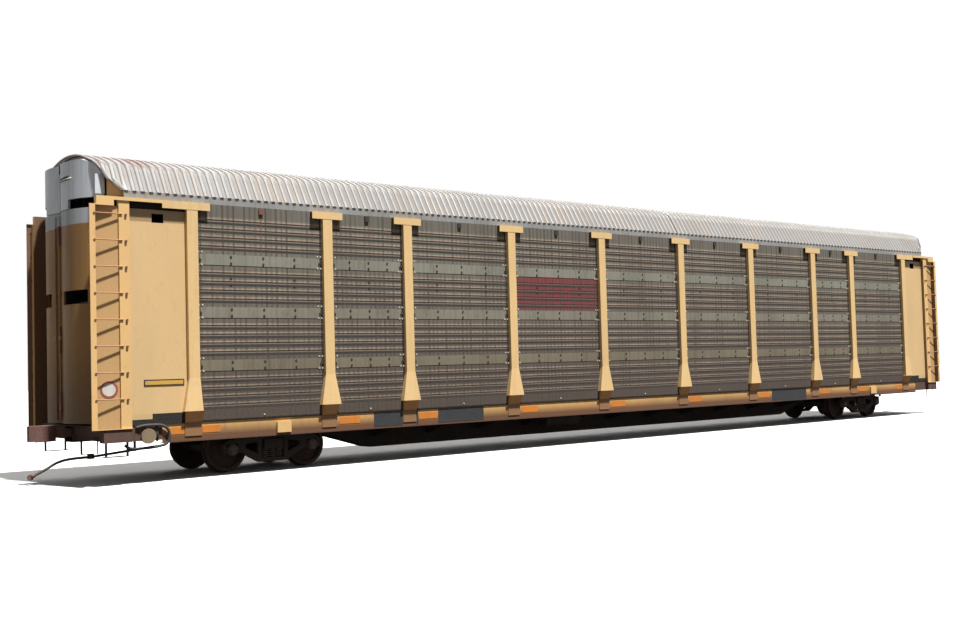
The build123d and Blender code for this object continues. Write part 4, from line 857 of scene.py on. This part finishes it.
@dataclass
class Roof:
    """The corrugated roof: an arched sheet whose ribs run over the car from eave to eave."""

    peak: float = RAIL + 5.88
    crown_radius: float = 2.70
    crown_angle: float = 24.0
    crown_steps: int = 7
    haunch_radius: float = 0.35
    haunch_angle: float = 60.0
    haunch_steps: int = 6
    eave_z: float = EAVE_TOP_Z
    rib: float = 0.022
    sheet: float = 0.008
    joint_x: float = 1.474
    end_radius: float = 0.60
    end_x: float = STRIKER_X - 0.614
    end_y: float = 0.921
    strap_half: float = 0.03
    strap_sink: float = 0.002
    mouth: Point = (0.072, 0.022, 0.030)
    mouth_y: float = 1.5155
    mouth_drop: float = 0.010
    # A rib's section: how far from its middle, and the share of its full height there
    knots: tuple[Span, ...] = ((-0.046, 0.0), (-0.030, 0.72), (-0.016, 1.0), (0.016, 1.0), (0.030, 0.72),
                               (0.046, 0.0))

    def arch(self, lift: float) -> list[Span]:
        """Give the section's points from the near eave over the top to the far eave.

        Args:
            lift: How far the surface stands outside the plain sheet.

        Returns:
            Points as Y and Z.
        """
        centre = self.peak - self.crown_radius
        knee, steep = radians(self.crown_angle), radians(self.haunch_angle)
        hy = (self.crown_radius - self.haunch_radius) * sin(knee)
        hz = centre + (self.crown_radius - self.haunch_radius) * cos(knee)
        half: list[Span] = []
        crown, haunch = self.crown_radius + lift, self.haunch_radius + lift
        for n in range(self.crown_steps + 1):
            a = knee * n / self.crown_steps
            half.append((crown * sin(a), centre + crown * cos(a)))
        for n in range(1, self.haunch_steps + 1):
            a = knee + (steep - knee) * n / self.haunch_steps
            half.append((hy + haunch * sin(a), hz + haunch * cos(a)))
        y, z = half[-1]
        drop = z - self.eave_z
        for part in (0.5, 1.0):
            half.append((y + drop * part / tan(steep), z - drop * part))
        return [(-y, z) for y, z in reversed(half)] + half[1:]

    def reach(self, y: float) -> float:
        """Give how far out the roof's end reaches at a distance from the centre line.

        Args:
            y: The distance from the centre line.

        Returns:
            The largest X of the sheet there.
        """
        away = min(max(abs(y) - self.end_y, 0.0), self.end_radius)
        return self.end_x + sqrt(self.end_radius ** 2 - away ** 2)

    def build(self, paint: Paintshop) -> None:
        """Build both lengths of the roof, the painted-shade mouths of its ribs and the strap over its joint.

        Args:
            paint: The finished materials.
        """
        tip = self.end_x + self.end_radius
        self.length(paint, "roof_a", -tip, self.joint_x)
        self.length(paint, "roof_b", self.joint_x, tip)
        count = int((self.reach(SILL_Y) - 0.05) / RIB_PITCH)
        spots = [(n * RIB_PITCH, side.value * self.mouth_y, self.eave_z - self.mouth_drop)
                 for n in range(-count, count + 1) for side in Side]
        # Painted shade: dark plates at the ribs' ends along the eaves, standing in for their shaded open
        # mouths
        Scatter("rib_mouths", self.mouth).fit(spots, paint, DARK_BOLT_AND_SHADE)
        self.strap(paint)

    def strap(self, paint: Paintshop) -> None:
        """Build the strap that covers the joint between the roof's two lengths.

        Args:
            paint: The finished materials.
        """
        strap = MeshBin()
        low, high = self.arch(-self.strap_sink), self.arch(self.rib - self.strap_sink / 2)
        for x in (self.joint_x - self.strap_half, self.joint_x + self.strap_half):
            strap.verts += [(x, y, z) for y, z in low] + [(x, y, z) for y, z in high]
        wide = len(low)
        for r in range(wide - 1):
            strap.faces += [(wide + r, wide + r + 1, 3 * wide + r + 1, 3 * wide + r),
                            (r, wide + r, wide + r + 1, r + 1),
                            (2 * wide + r, 2 * wide + r + 1, 3 * wide + r + 1, 3 * wide + r),
                            (r, r + 1, 2 * wide + r + 1, 2 * wide + r)]
        strap.faces += [(0, 2 * wide, 3 * wide, wide), (wide - 1, 2 * wide - 1, 4 * wide - 1, 3 * wide - 1)]
        strap.fit("roof_joint_strap", paint, EAVE)

    def length(self, paint: Paintshop, name: str, x0: float, x1: float) -> None:
        """Build one length of the roof.

        Args:
            paint: The finished materials.
            name: The node of the solids that it stands for.
            x0: Its lower X.
            x1: Its upper X.
        """
        plain, proud = self.arch(0.0), self.arch(self.rib)
        ribs = range(int(x0 / RIB_PITCH) - 1, int(x1 / RIB_PITCH) + 2)
        columns = [(n * RIB_PITCH + offset, lift) for n in ribs for offset, lift in self.knots]
        columns = [(x0, 0.0)] + [(x, lift) for x, lift in columns if x0 < x < x1] + [(x1, 0.0)]
        verts: list[Point] = []
        for x, lift in columns:
            for (py, pz), (qy, qz) in zip(plain, proud):
                y, z = py + (qy - py) * lift, pz + (qz - pz) * lift
                limit = self.reach(y)
                verts.append((max(-limit, min(limit, x)), y, z))
        wide = len(plain)
        faces = [(c * wide + r, (c + 1) * wide + r, (c + 1) * wide + r + 1, c * wide + r + 1)
                 for c in range(len(columns) - 1) for r in range(wide - 1)]
        mesh = bpy.data.meshes.new(name + "_sheet")
        mesh.from_pydata(verts, [], faces)
        tool = bmesh.new()
        tool.from_mesh(mesh)
        bmesh.ops.remove_doubles(tool, verts=tool.verts, dist=0.0006)
        bmesh.ops.dissolve_degenerate(tool, edges=tool.edges, dist=0.0004)
        bmesh.ops.recalc_face_normals(tool, faces=tool.faces)
        if sum(f.normal.z for f in tool.faces) < 0:
            bmesh.ops.reverse_faces(tool, faces=tool.faces)
        tool.to_mesh(mesh)
        tool.free()
        mesh.materials.append(paint.of(ROOF))
        sheet = bpy.data.objects.new(name + "_sheet", mesh)
        bpy.context.collection.objects.link(sheet)
        wall = sheet.modifiers.new("wall", "SOLIDIFY")
        wall.thickness = self.sheet
        wall.offset = -1.0
        place(sheet, "car", ROOF, name)


# Side details


@dataclass
class SideDetails:
    """Bolts, clips, brackets, reflectors and bare patches along both sides."""

    column_share: float = 0.235
    column_shift: float = 0.012
    row_offset: float = 0.06
    extra_rows: Span = (0.33, 0.455)
    short_bay: float = 2.0
    lap: float = PANEL_Y + 0.009
    face: float = PANEL_Y + 0.004
    bolt: Point = (0.044, 0.044, 0.012)
    stud: Point = (0.032, 0.032, 0.012)
    clip: Point = (0.030, 0.012, 0.050)
    # Beside each post: how far out, how far the clip sits back, and how far it sits above its lap
    edge_columns: tuple[Point, ...] = ((0.135, 0.0, 0.004), (0.205, 0.03, -0.015))
    stud_rows: Span = (-0.098, 0.134)
    foot_stud_z: float = RAIL + 1.073
    # Painted shade strips beside each post and along the panels' foot
    shade_strip: Span = (0.128, 0.149)
    shade_strip_z: Span = (RAIL + 1.10, RAIL + 4.95)
    foot_shade_strip_z: Span = (RAIL + 1.004, RAIL + 1.028)
    shade_strip_depths: Span = (-0.001, 0.0012)
    skirt_lead: float = 0.02
    # Each pocket's painted-shade block at its skirt and at its head: how far short of the striker it ends,
    # then its Y and Z above the rail
    skirts: tuple[tuple[float, ...], ...] = ((0.36, 1.510, 1.517, 0.985, 1.215),
                                             (0.37, 1.501, 1.506, 4.785, 4.985))
    bracket_half: float = 0.045
    bracket_z: Span = (RAIL + 4.835, RAIL + 4.945)
    bracket_depths: tuple[float, float, float] = (0.0005, 0.003, 0.030)
    rust_line: Span = (-0.008, 0.006)
    rust_line_foot: float = RAIL + 4.10
    mark_depth: float = 0.004
    reflector: Span = (0.25, 0.72)
    reflector_z: tuple[float, float, float] = (RAIL + 0.80, RAIL + 0.925, RAIL + 0.935)
    end_reflectors: tuple[Span, ...] = ((-12.357, -12.085), (-11.735, -11.38), (11.38, 11.735))
    patches: tuple[Span, ...] = ((-8.006, -7.30), (-6.95, -6.90), (-6.38, -5.144), (5.106, 5.53))
    patch_z: Span = (RAIL + 0.70, RAIL + 0.985)
    deep_patch: Span = (5.53, 6.689)
    deep_patch_foot: float = RAIL + 0.66
    label_x: Span = (12.083, 12.835)
    label_z: Span = (RAIL + 1.672, RAIL + 1.785)
    label_rim: float = 0.022
    label_depths: tuple[float, float, float] = (0.0, 0.008, 0.0095)

    def bays(self) -> list[Span]:
        """Give each bay's middle and length.

        Returns:
            Pairs of X and length.
        """
        return [((a + b) / 2, b - a) for a, b in zip(POSTS, POSTS[1:])]

    def build(self, paint: Paintshop) -> None:
        """Build everything on both sides.

        Args:
            paint: The finished materials.
        """
        dark: list[Point] = []
        light: list[Point] = []
        clips: list[Point] = []
        for side in Side:
            lap_y, face_y = side.value * self.lap, side.value * self.face
            for middle, length in self.bays():
                for column in (-1, 0, 1):
                    x = middle + (column * self.column_share + self.column_shift) * length
                    dark += [(x, lap_y, z + row * self.row_offset) for z in LAP_Z for row in (-1, 1)]
                    if (column == 0) == (length < self.short_bay):
                        dark += [(x, face_y, LAP_Z[2] - drop) for drop in self.extra_rows]
                light.append((middle, face_y, self.foot_stud_z))
            for x in POSTS:
                for reach, back, lift in self.edge_columns:
                    for sign in (-1, 1):
                        edge = x + sign * reach
                        if abs(edge) <= RACK_HALF:
                            clips += [(edge - sign * back, lap_y, z + lift) for z in LAP_Z]
                            light += [(edge, face_y, z + row) for z in LAP_Z for row in self.stud_rows]
        Scatter("panel_bolts", self.bolt, 8, FACES_SIDEWAYS).fit(dark, paint, DARK_BOLT_AND_SHADE)
        Scatter("panel_studs", self.stud, 8, FACES_SIDEWAYS).fit(light, paint, PALE_BOLT)
        Scatter("panel_clips", self.clip).fit(clips, paint, DARK_BOLT_AND_SHADE)
        self.edge_shade_strips(paint)
        self.brackets(paint)
        self.sill_marks(paint)
        self.pocket_marks(paint)

    def edge_shade_strips(self, paint: Paintshop) -> None:
        """Build the painted-shade strips beside the posts and along the panels' foot, and the painted-shade
        blocks at the pockets' skirts and heads.

        Args:
            paint: The finished materials.
        """
        strips, skirts = MeshBin(), MeshBin()
        for side in Side:
            y0, y1 = (side.value * (PANEL_Y + depth) for depth in self.shade_strip_depths)
            for x in POSTS:
                for sign in (-1, 1):
                    x0, x1 = (x + sign * reach for reach in self.shade_strip)
                    if abs(x1) < RACK_HALF:
                        strips.block((x0, y0, self.shade_strip_z[0]), (x1, y1, self.shade_strip_z[1]))
            strips.block((-RACK_HALF, y0, self.foot_shade_strip_z[0]), (RACK_HALF, y1, self.foot_shade_strip_z[1]))
            for end in End:
                x0 = end.value * (RACK_HALF + self.skirt_lead)
                for back, y0, y1, z0, z1 in self.skirts:
                    skirts.block((x0, side.value * y0, RAIL + z0),
                                 (end.value * (STRIKER_X - back), side.value * y1, RAIL + z1))
        strips.fit("panel_edge_shade_strips", paint, SHADE_STRIP_DARK)
        skirts.fit("pocket_shade_skirts", paint, SHADE_STRIP_DARK)

    def brackets(self, paint: Paintshop) -> None:
        """Build the small bracket at the top middle of each bay and the rust line under it.

        Args:
            paint: The finished materials.
        """
        red, grey = MeshBin(), MeshBin()
        foot, top = self.bracket_z
        for side in Side:
            for number, (middle, _) in enumerate(self.bays()):
                rusty = number == (0 if side is Side.NEAR else len(BAYS) - 1)
                y0, y1, y2 = (side.value * (PANEL_Y + depth) for depth in self.bracket_depths)
                chosen = red if rusty else grey
                chosen.block((middle - self.bracket_half, y0, foot), (middle + self.bracket_half, y2, top))
                if rusty:
                    x0, x1 = (middle + edge for edge in self.rust_line)
                    red.block((x0, y0, self.rust_line_foot), (x1, y1, foot))
        red.fit("bay_brackets_red", paint, RED_IRON)
        grey.fit("bay_brackets_grey", paint, DARK_BOLT_AND_SHADE)

    def sill_marks(self, paint: Paintshop) -> None:
        """Build the reflectors and the bare black patches on the side sills.

        Args:
            paint: The finished materials.
        """
        amber, black = MeshBin(), MeshBin()
        low, high, post_high = self.reflector_z
        foot, top = self.patch_z
        for side in Side:
            y0, y1 = side.value * SILL_Y, side.value * (SILL_Y + self.mark_depth)
            for x in POSTS[1:-1]:
                x0, x1 = (x - side.value * reach for reach in self.reflector)
                amber.block((x0, y0, low), (x1, y1, post_high))
            for x0, x1 in self.end_reflectors:
                amber.block((-side.value * x0, y0, low), (-side.value * x1, y1, high))
            for x0, x1 in self.patches:
                black.block((-side.value * x0, y0, foot), (-side.value * x1, y1, top))
            x0, x1 = (-side.value * x for x in self.deep_patch)
            black.block((x0, y0, self.deep_patch_foot), (x1, y1, top))
        amber.fit("sill_reflectors", paint, AMBER)
        black.fit("sill_patches", paint, BLACK)

    def pocket_marks(self, paint: Paintshop) -> None:
        """Build the bare label plate on each pocket panel and its dark frame.

        Args:
            paint: The finished materials.
        """
        rim, field = MeshBin(), MeshBin()
        edge = self.label_rim
        for side in Side:
            y = [side.value * (PANEL_Y + depth) for depth in self.label_depths]
            x0, x1 = (side.value * x for x in self.label_x)
            z0, z1 = self.label_z
            rim.block((x0, y[0], z0), (x1, y[1], z1))
            field.block((x0 + side.value * edge, y[1], z0 + edge), (x1 - side.value * edge, y[2], z1 - edge))
        rim.fit("label_frames", paint, DARK_BOLT_AND_SHADE)
        field.fit("label_plates", paint, LABEL)


# End details


@dataclass
class EndDetails:
    """Lock bar sleeves, latch rods, the round plate, ladder bolts and the small gear at the corners."""

    sleeve_y: float = 0.10
    sleeve_half: Span = (0.022, 0.026)
    sleeve_stand: float = 0.030
    sleeve_z: tuple[Span, ...] = ((1.18, 1.60), (2.30, 2.78), (4.24, 4.60))
    latch_z: float = RAIL + 5.37
    latch_rise: float = 0.06
    latch_ys: tuple[float, ...] = (0.60, 0.50, 0.40, 0.30, 0.20, 0.10)
    latch_radius: float = 0.011
    handle_ys: tuple[float, ...] = (0.12, 0.25, 0.40, 0.55, 0.68)
    handle_radius: float = 0.014
    # The dark slot on the closures and the seam below it: half its width, how proud it stands, and its Z
    slots: tuple[tuple[float, ...], ...] = ((0.030, 0.014, RAIL + 5.55, RAIL + 5.71),
                                            (0.010, 0.004, RAIL + 4.85, RAIL + 5.55))
    slot_sink: float = 0.01
    plate_x: float = 13.467
    plate_z: float = RAIL + 1.634
    plate_sides: int = 32
    rung_bolt: Point = (0.044, 0.044, 0.040)
    # The outer and inner ends of the rungs, and how far back from the ladder's face their bolts sit
    rung_ends: tuple[Span, ...] = ((STRIKER_X + 0.105, 0.013), (STRIKER_X - 0.455, 0.014))
    bolt_drop: float = 0.012
    drum_x: float = 12.77
    drum_y: Span = (1.512, 1.560)
    drum_z: float = RAIL + 0.80
    drum_radius: float = 0.135
    strap_low: Point = (12.585, 1.51, RAIL + 0.70)
    strap_high: Point = (12.625, 1.530, RAIL + 0.985)
    pipe_radius: float = 0.026
    # The bent pipe round the drum, from the platform to the sill, with z counted from the rail
    pipe_route: tuple[Point, ...] = (
        (12.99, 1.520, 0.955), (12.86, 1.545, 0.985), (12.70, 1.548, 0.990), (12.52, 1.548, 0.975),
        (12.41, 1.545, 0.90), (12.385, 1.540, 0.78), (12.42, 1.530, 0.665), (12.56, 1.500, 0.612),
        (12.80, 1.470, 0.590), (13.06, 1.450, 0.600), (13.16, 1.440, 0.66))

    def leaf_x(self, y: float, stand: float) -> float:
        """Give the X of the drum that the door leaves follow, at a distance from the centre line.

        Args:
            y: The distance from the centre line.
            stand: How far outside the drum.

        Returns:
            The X, counted outwards.
        """
        return DOOR_PIVOT[0] + sqrt((DOOR_RADIUS + stand) ** 2 - (abs(y) - DOOR_PIVOT[1]) ** 2)

    def build(self, paint: Paintshop) -> None:
        """Build everything on both ends.

        Args:
            paint: The finished materials.
        """
        self.lock_bars(paint, End.A, Side.NEAR, "leaf_a_near")
        self.lock_bars(paint, End.B, Side.FAR, "leaf_b_far")
        self.round_plate(paint, End.A, Side.NEAR)
        self.latches(paint)
        self.rung_bolts(paint)
        self.corner_gear(paint)

    def lock_bars(self, paint: Paintshop, end: End, side: Side, body: str) -> None:
        """Build the red sleeves on one leaf's lock rod.

        Args:
            paint: The finished materials.
            end: The car's end.
            side: The leaf's side.
            body: The leaf's body.
        """
        bars = MeshBin()
        y = side.value * self.sleeve_y
        x = end.value * self.leaf_x(y, self.sleeve_stand)
        half_x, half_y = self.sleeve_half
        for z0, z1 in self.sleeve_z:
            bars.block((x - half_x, y - half_y, RAIL + z0), (x + half_x, y + half_y, RAIL + z1))
        bars.fit("lock_sleeves_" + body.removeprefix("leaf_"), paint, RED_IRON, body)

    def round_plate(self, paint: Paintshop, end: End, side: Side) -> None:
        """Build the bare round plate on the sheet behind one ladder.

        Args:
            paint: The finished materials.
            end: The car's end.
            side: The car's side.
        """
        segments = self.plate_sides
        slope = (BACK_PLATE_Y[1] - BACK_PLATE_Y[0]) / (BACK_PLATE_X[1] - BACK_PLATE_X[0])
        for name, inner, outer, lift, finish in (("round_plate_face", 0.004, 0.125, 0.003, WHITE),
                                                 ("round_plate_rim", 0.112, 0.148, 0.005, SIGN_RED)):
            part = MeshBin()
            for radius in (inner, outer):
                for stand in (0.0, lift):
                    for k in range(segments):
                        angle = 2 * pi * k / segments
                        x = self.plate_x + radius * cos(angle)
                        y = BACK_PLATE_Y[0] + slope * (x - BACK_PLATE_X[0]) + stand
                        part.verts.append((end.value * x, side.value * y, self.plate_z + radius * sin(angle)))
            for k in range(segments):
                n = (k + 1) % segments
                loops = [level * segments for level in range(4)]
                for a, b in ((0, 1), (1, 3), (3, 2), (2, 0)):
                    part.faces.append((loops[a] + k, loops[a] + n, loops[b] + n, loops[b] + k))
            part.fit(name, paint, finish)

    def latches(self, paint: Paintshop) -> None:
        """Build the latch rods, their handles and the dark slot on the fixed closures.

        Args:
            paint: The finished materials.
        """
        dark, pale = MeshBin(), MeshBin()
        for end in End:
            e = end.value
            dark.tube([(e * self.leaf_x(y, 0.016), e * y, self.latch_z + 0.02 + self.latch_rise * y)
                       for y in self.latch_ys], self.latch_radius, 6)
            pale.tube([(e * self.leaf_x(y, 0.018), e * y, self.latch_z + 0.01) for y in self.handle_ys],
                      self.handle_radius, 6)
            face = self.leaf_x(0.0, 0.0)
            for half, proud, z0, z1 in self.slots:
                dark.block((e * (face - self.slot_sink), -half, z0), (e * (face + proud), half, z1))
        dark.fit("latch_rods", paint, DARK_BOLT_AND_SHADE)
        pale.fit("latch_handles", paint, WHITE, smooth=True)

    def rung_bolts(self, paint: Paintshop) -> None:
        """Build the rusty bolted ends of every ladder rung.

        Args:
            paint: The finished materials.
        """
        spots = [(end.value * x, side.value * (LADDER_Y - back), z - self.bolt_drop)
                 for end in End for side in Side for x, back in self.rung_ends for z in RUNGS_Z]
        Scatter("rung_bolts", self.rung_bolt, 8, FACES_SIDEWAYS).fit(spots, paint, RED_IRON)

    def corner_gear(self, paint: Paintshop) -> None:
        """Build the drum, its strap and the bent pipe between each corner platform and its side sill.

        Args:
            paint: The finished materials.
        """
        drums, pipes = MeshBin(), MeshBin()
        for end in End:
            e = end.value
            drums.tube([(e * self.drum_x, e * y, self.drum_z) for y in self.drum_y], self.drum_radius, 20)
            route = smooth_route([(e * x, e * y, RAIL + z) for x, y, z in self.pipe_route], 6)
            pipes.tube(route, self.pipe_radius, 8)
            pipes.block(*((e * x, e * y, z) for x, y, z in (self.strap_low, self.strap_high)))
        drums.fit("corner_drums", paint, TAN)
        pipes.fit("corner_pipes", paint, RUBBER, smooth=True)


# Trucks


@dataclass
class Springs:
    """The coil springs in the truck frames."""

    radius: float = 0.056
    wire: float = 0.0125
    turns: int = 4
    low: float = RAIL + 0.215
    high: float = RAIL + 0.399
    frame_y: float = 1.003
    pitch: float = 0.15
    plate: float = 0.006
    steps: int = 14

    def build(self, paint: Paintshop) -> None:
        """Build both trucks' springs.

        Args:
            paint: The finished materials.
        """
        for number, end in enumerate(End, start=1):
            nest = MeshBin()
            for side in Side:
                for n in (-1, 0, 1):
                    self.coil(nest, end.value * TRUCK_X + n * self.pitch, side.value * self.frame_y)
            nest.fit("coil_springs_%d" % number, paint, SPRING, "truck_%d" % number, True,
                     "springs_%d" % number)

    def coil(self, nest: MeshBin, x: float, y: float) -> None:
        """Add one coil spring with its end plates.

        Args:
            nest: The mesh that it goes into.
            x: The spring's X.
            y: The spring's Y.
        """
        count = self.steps * self.turns
        rise = self.high - self.low - 2 * self.wire
        turns = [(2 * pi * n / self.steps, rise * n / count) for n in range(count + 1)]
        nest.tube([(x + self.radius * cos(a), y + self.radius * sin(a), self.low + self.wire + up)
                   for a, up in turns], self.wire, 6)
        for z, inner in ((self.low, self.low + self.plate), (self.high, self.high - self.plate)):
            nest.tube([(x, y, z), (x, y, inner)], self.radius + self.wire, 16)


@dataclass
class BearingBolts:
    """Three cap screws on every axle end."""

    axle_spacing: float = 1.727
    axle_z: float = RAIL + 0.419
    cap_y: float = 1.123
    stand: float = 0.005
    circle: float = 0.052
    screw: Point = (0.028, 0.028, 0.016)
    screw_angles: tuple[int, ...] = (90, 210, 330)

    def build(self, paint: Paintshop) -> None:
        """Build the screws of the four wheelsets.

        Args:
            paint: The finished materials.
        """
        stations = [e.value * TRUCK_X + d * self.axle_spacing / 2 for e in End for d in (-1, 1)]
        for number, x in enumerate(stations, start=1):
            spots = [(x + self.circle * cos(radians(a)), s.value * (self.cap_y + self.stand),
                      self.axle_z + self.circle * sin(radians(a))) for s in Side for a in self.screw_angles]
            screws = Scatter("axle_screws_%d" % number, self.screw, 6, FACES_SIDEWAYS)
            screws.fit(spots, paint, DARK_BOLT_AND_SHADE, "wheelset_%d" % number)


# Air hose


@dataclass
class AirHose:
    """The air hose at the A end."""

    diameter: float = 0.05
    pipe_x: float = STRIKER_X - 0.194
    pipe_y: float = 0.40
    pipe_z: float = RAIL + 0.43
    steps: int = 32

    def route(self) -> list[Point]:
        """Give the hose's points, as in the solids.

        Returns:
            The points.
        """
        x, y, z = -self.pipe_x, -self.pipe_y, self.pipe_z
        return [(x, y, z), (x - 0.26, y, z), (x - 0.53, y, z - 0.04), (x - 0.74, y + 0.015, z - 0.165),
                (x - 0.915, y + 0.03, z - 0.245)]

    def length(self) -> float:
        """Give the hose's length along its line.

        Returns:
            The length in metres.
        """
        first, second, third, fourth, last = (Vector(p) for p in self.route())
        join, meet = (second + third) / 2, (third + fourth) / 2
        shares = [n / self.steps for n in range(self.steps + 1)]
        total = 0.0
        for a, b, c in ((first, second, join), (join, third, meet), (meet, fourth, last)):
            line = [a * (1 - t) ** 2 + 2 * b * t * (1 - t) + c * t ** 2 for t in shares]
            total += sum((q - p).length for p, q in zip(line, line[1:]))
        return total

    def build(self, paint: Paintshop) -> None:
        """Build the hose as a curve.

        Args:
            paint: The finished materials.
        """
        curve = bpy.data.curves.new("air_hose_line", "CURVE")
        curve.dimensions = "3D"
        curve.bevel_depth = self.diameter / 2
        curve.bevel_resolution = 4
        curve.resolution_u = 12
        curve.use_fill_caps = True
        spline = curve.splines.new("NURBS")
        points = self.route()
        spline.points.add(len(points) - 1)
        for knot, point in zip(spline.points, points):
            knot.co = (*point, 1.0)
        spline.order_u = 3
        spline.use_endpoint_u = True
        curve.materials.append(paint.of(RUBBER))
        hose = bpy.data.objects.new("air_hose_line", curve)
        bpy.context.collection.objects.link(hose)
        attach(hose, "car")
        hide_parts("air_hose")
        round(self.length(), 3)
        log.info("air_hose_line, %.3f m", self.length())


# Surroundings


@dataclass(frozen=True)
class Lamp:
    """One sun, with its breadth and its turn in degrees."""

    name: str
    strength: float
    breadth: float
    turn: Point

    def hang(self) -> None:
        """Add the lamp to the scene."""
        data = bpy.data.lights.new(self.name, "SUN")
        data.energy = self.strength
        data.angle = radians(self.breadth)
        lamp = bpy.data.objects.new(self.name, data)
        lamp.rotation_euler = tuple(radians(part) for part in self.turn)
        bpy.context.collection.objects.link(lamp)


@dataclass
class Studio:
    """The pale floor, the camera, and the lights: a high sun on the near side, a faint fill, a back light."""

    eye: Point = (-21.0882, -20.8650, 1.8897)
    ahead: Point = (0.63681, 0.76976, 0.04414)
    up: Point = (-0.00677, -0.05166, 0.99864)
    lens: float = 42.864
    floor_seen: Colour = (0.80, 0.80, 0.79)
    floor_bounce: Colour = (0.060, 0.056, 0.052)
    floor_half: float = 160.0
    sky: float = 0.15
    sky_colour: Colour = (1.0, 0.97, 0.93)
    lamps: tuple[Lamp, ...] = (
        Lamp("key", 8.2, 2.5, (21.0, 0.0, 12.0)), Lamp("fill", 0.10, 40.0, (60.0, 0.0, -60.0)),
        Lamp("back", 1.6, 40.0, (56.0, 0.0, 138.5)))

    def camera(self) -> None:
        """Stand the camera where the photograph was taken."""
        data = bpy.data.cameras.new("camera")
        data.lens = self.lens
        data.sensor_width = 36.0
        data.sensor_fit = "HORIZONTAL"
        data.clip_end = 400.0
        ahead = Vector(self.ahead).normalized()
        right = ahead.cross(Vector(self.up)).normalized()
        up = right.cross(ahead)
        turn = Matrix((right, up, -ahead)).transposed()
        camera = bpy.data.objects.new("camera", data)
        camera.matrix_world = Matrix.Translation(self.eye) @ turn.to_4x4()
        bpy.context.collection.objects.link(camera)
        bpy.context.scene.camera = camera

    def surround(self) -> None:
        """Light the scene from a soft sky that shows as white."""
        world = bpy.data.worlds.new("studio_world")
        bpy.context.scene.world = world
        world.use_nodes = True
        tree = world.node_tree
        tree.nodes.clear()
        sheet = NodeSheet(tree)
        path = tree.nodes.new("ShaderNodeLightPath")
        seen = sheet.math("MAXIMUM", path.outputs["Is Camera Ray"], path.outputs["Is Glossy Ray"])
        seen = sheet.math("MAXIMUM", seen, path.outputs["Is Transmission Ray"])
        soft = tree.nodes.new("ShaderNodeBackground")
        soft.inputs["Color"].default_value = (*self.sky_colour, 1.0)
        soft.inputs["Strength"].default_value = self.sky
        white = tree.nodes.new("ShaderNodeBackground")
        white.inputs["Color"].default_value = (1.0, 1.0, 1.0, 1.0)
        mix = tree.nodes.new("ShaderNodeMixShader")
        sheet.put(mix.inputs[0], seen)
        sheet.put(mix.inputs[1], soft.outputs[0])
        sheet.put(mix.inputs[2], white.outputs[0])
        out = tree.nodes.new("ShaderNodeOutputWorld")
        sheet.put(out.inputs["Surface"], mix.outputs[0])

    def floor(self) -> None:
        """Lay a floor at the foot of the wheels: pale in the picture, darker as a source of bounced light."""
        size = self.floor_half
        mesh = bpy.data.meshes.new("floor")
        corners = [(-size, -size, 0), (size, -size, 0), (size, size, 0), (-size, size, 0)]
        mesh.from_pydata(corners, [], [(0, 1, 2, 3)])
        material = bpy.data.materials.new("floor_pale")
        material.use_nodes = True
        sheet = NodeSheet(material.node_tree)
        shader = material.node_tree.nodes["Principled BSDF"]
        seen = material.node_tree.nodes.new("ShaderNodeLightPath").outputs["Is Camera Ray"]
        sheet.put(shader.inputs["Base Color"], sheet.mix(seen, self.floor_bounce, self.floor_seen))
        shader.inputs["Roughness"].default_value = 0.9
        shader.inputs["Specular IOR Level"].default_value = 0.1
        mesh.materials.append(material)
        floor = bpy.data.objects.new("floor", mesh)
        bpy.context.collection.objects.link(floor)

    def build(self) -> None:
        """Set up everything round the car."""
        bpy.context.scene.view_settings.view_transform = "Standard"
        self.camera()
        self.surround()
        self.floor()
        for lamp in self.lamps:
            lamp.hang()


def main() -> None:
    """Dress the car piece by piece and set the scene."""
    paint = Paintshop()
    paint.dress_nodes()
    Studio().build()
    Roof().build(paint)
    SideDetails().build(paint)
    EndDetails().build(paint)
    Springs().build(paint)
    BearingBolts().build(paint)
    AirHose().build(paint)


if __name__ == "__main__":
    main()
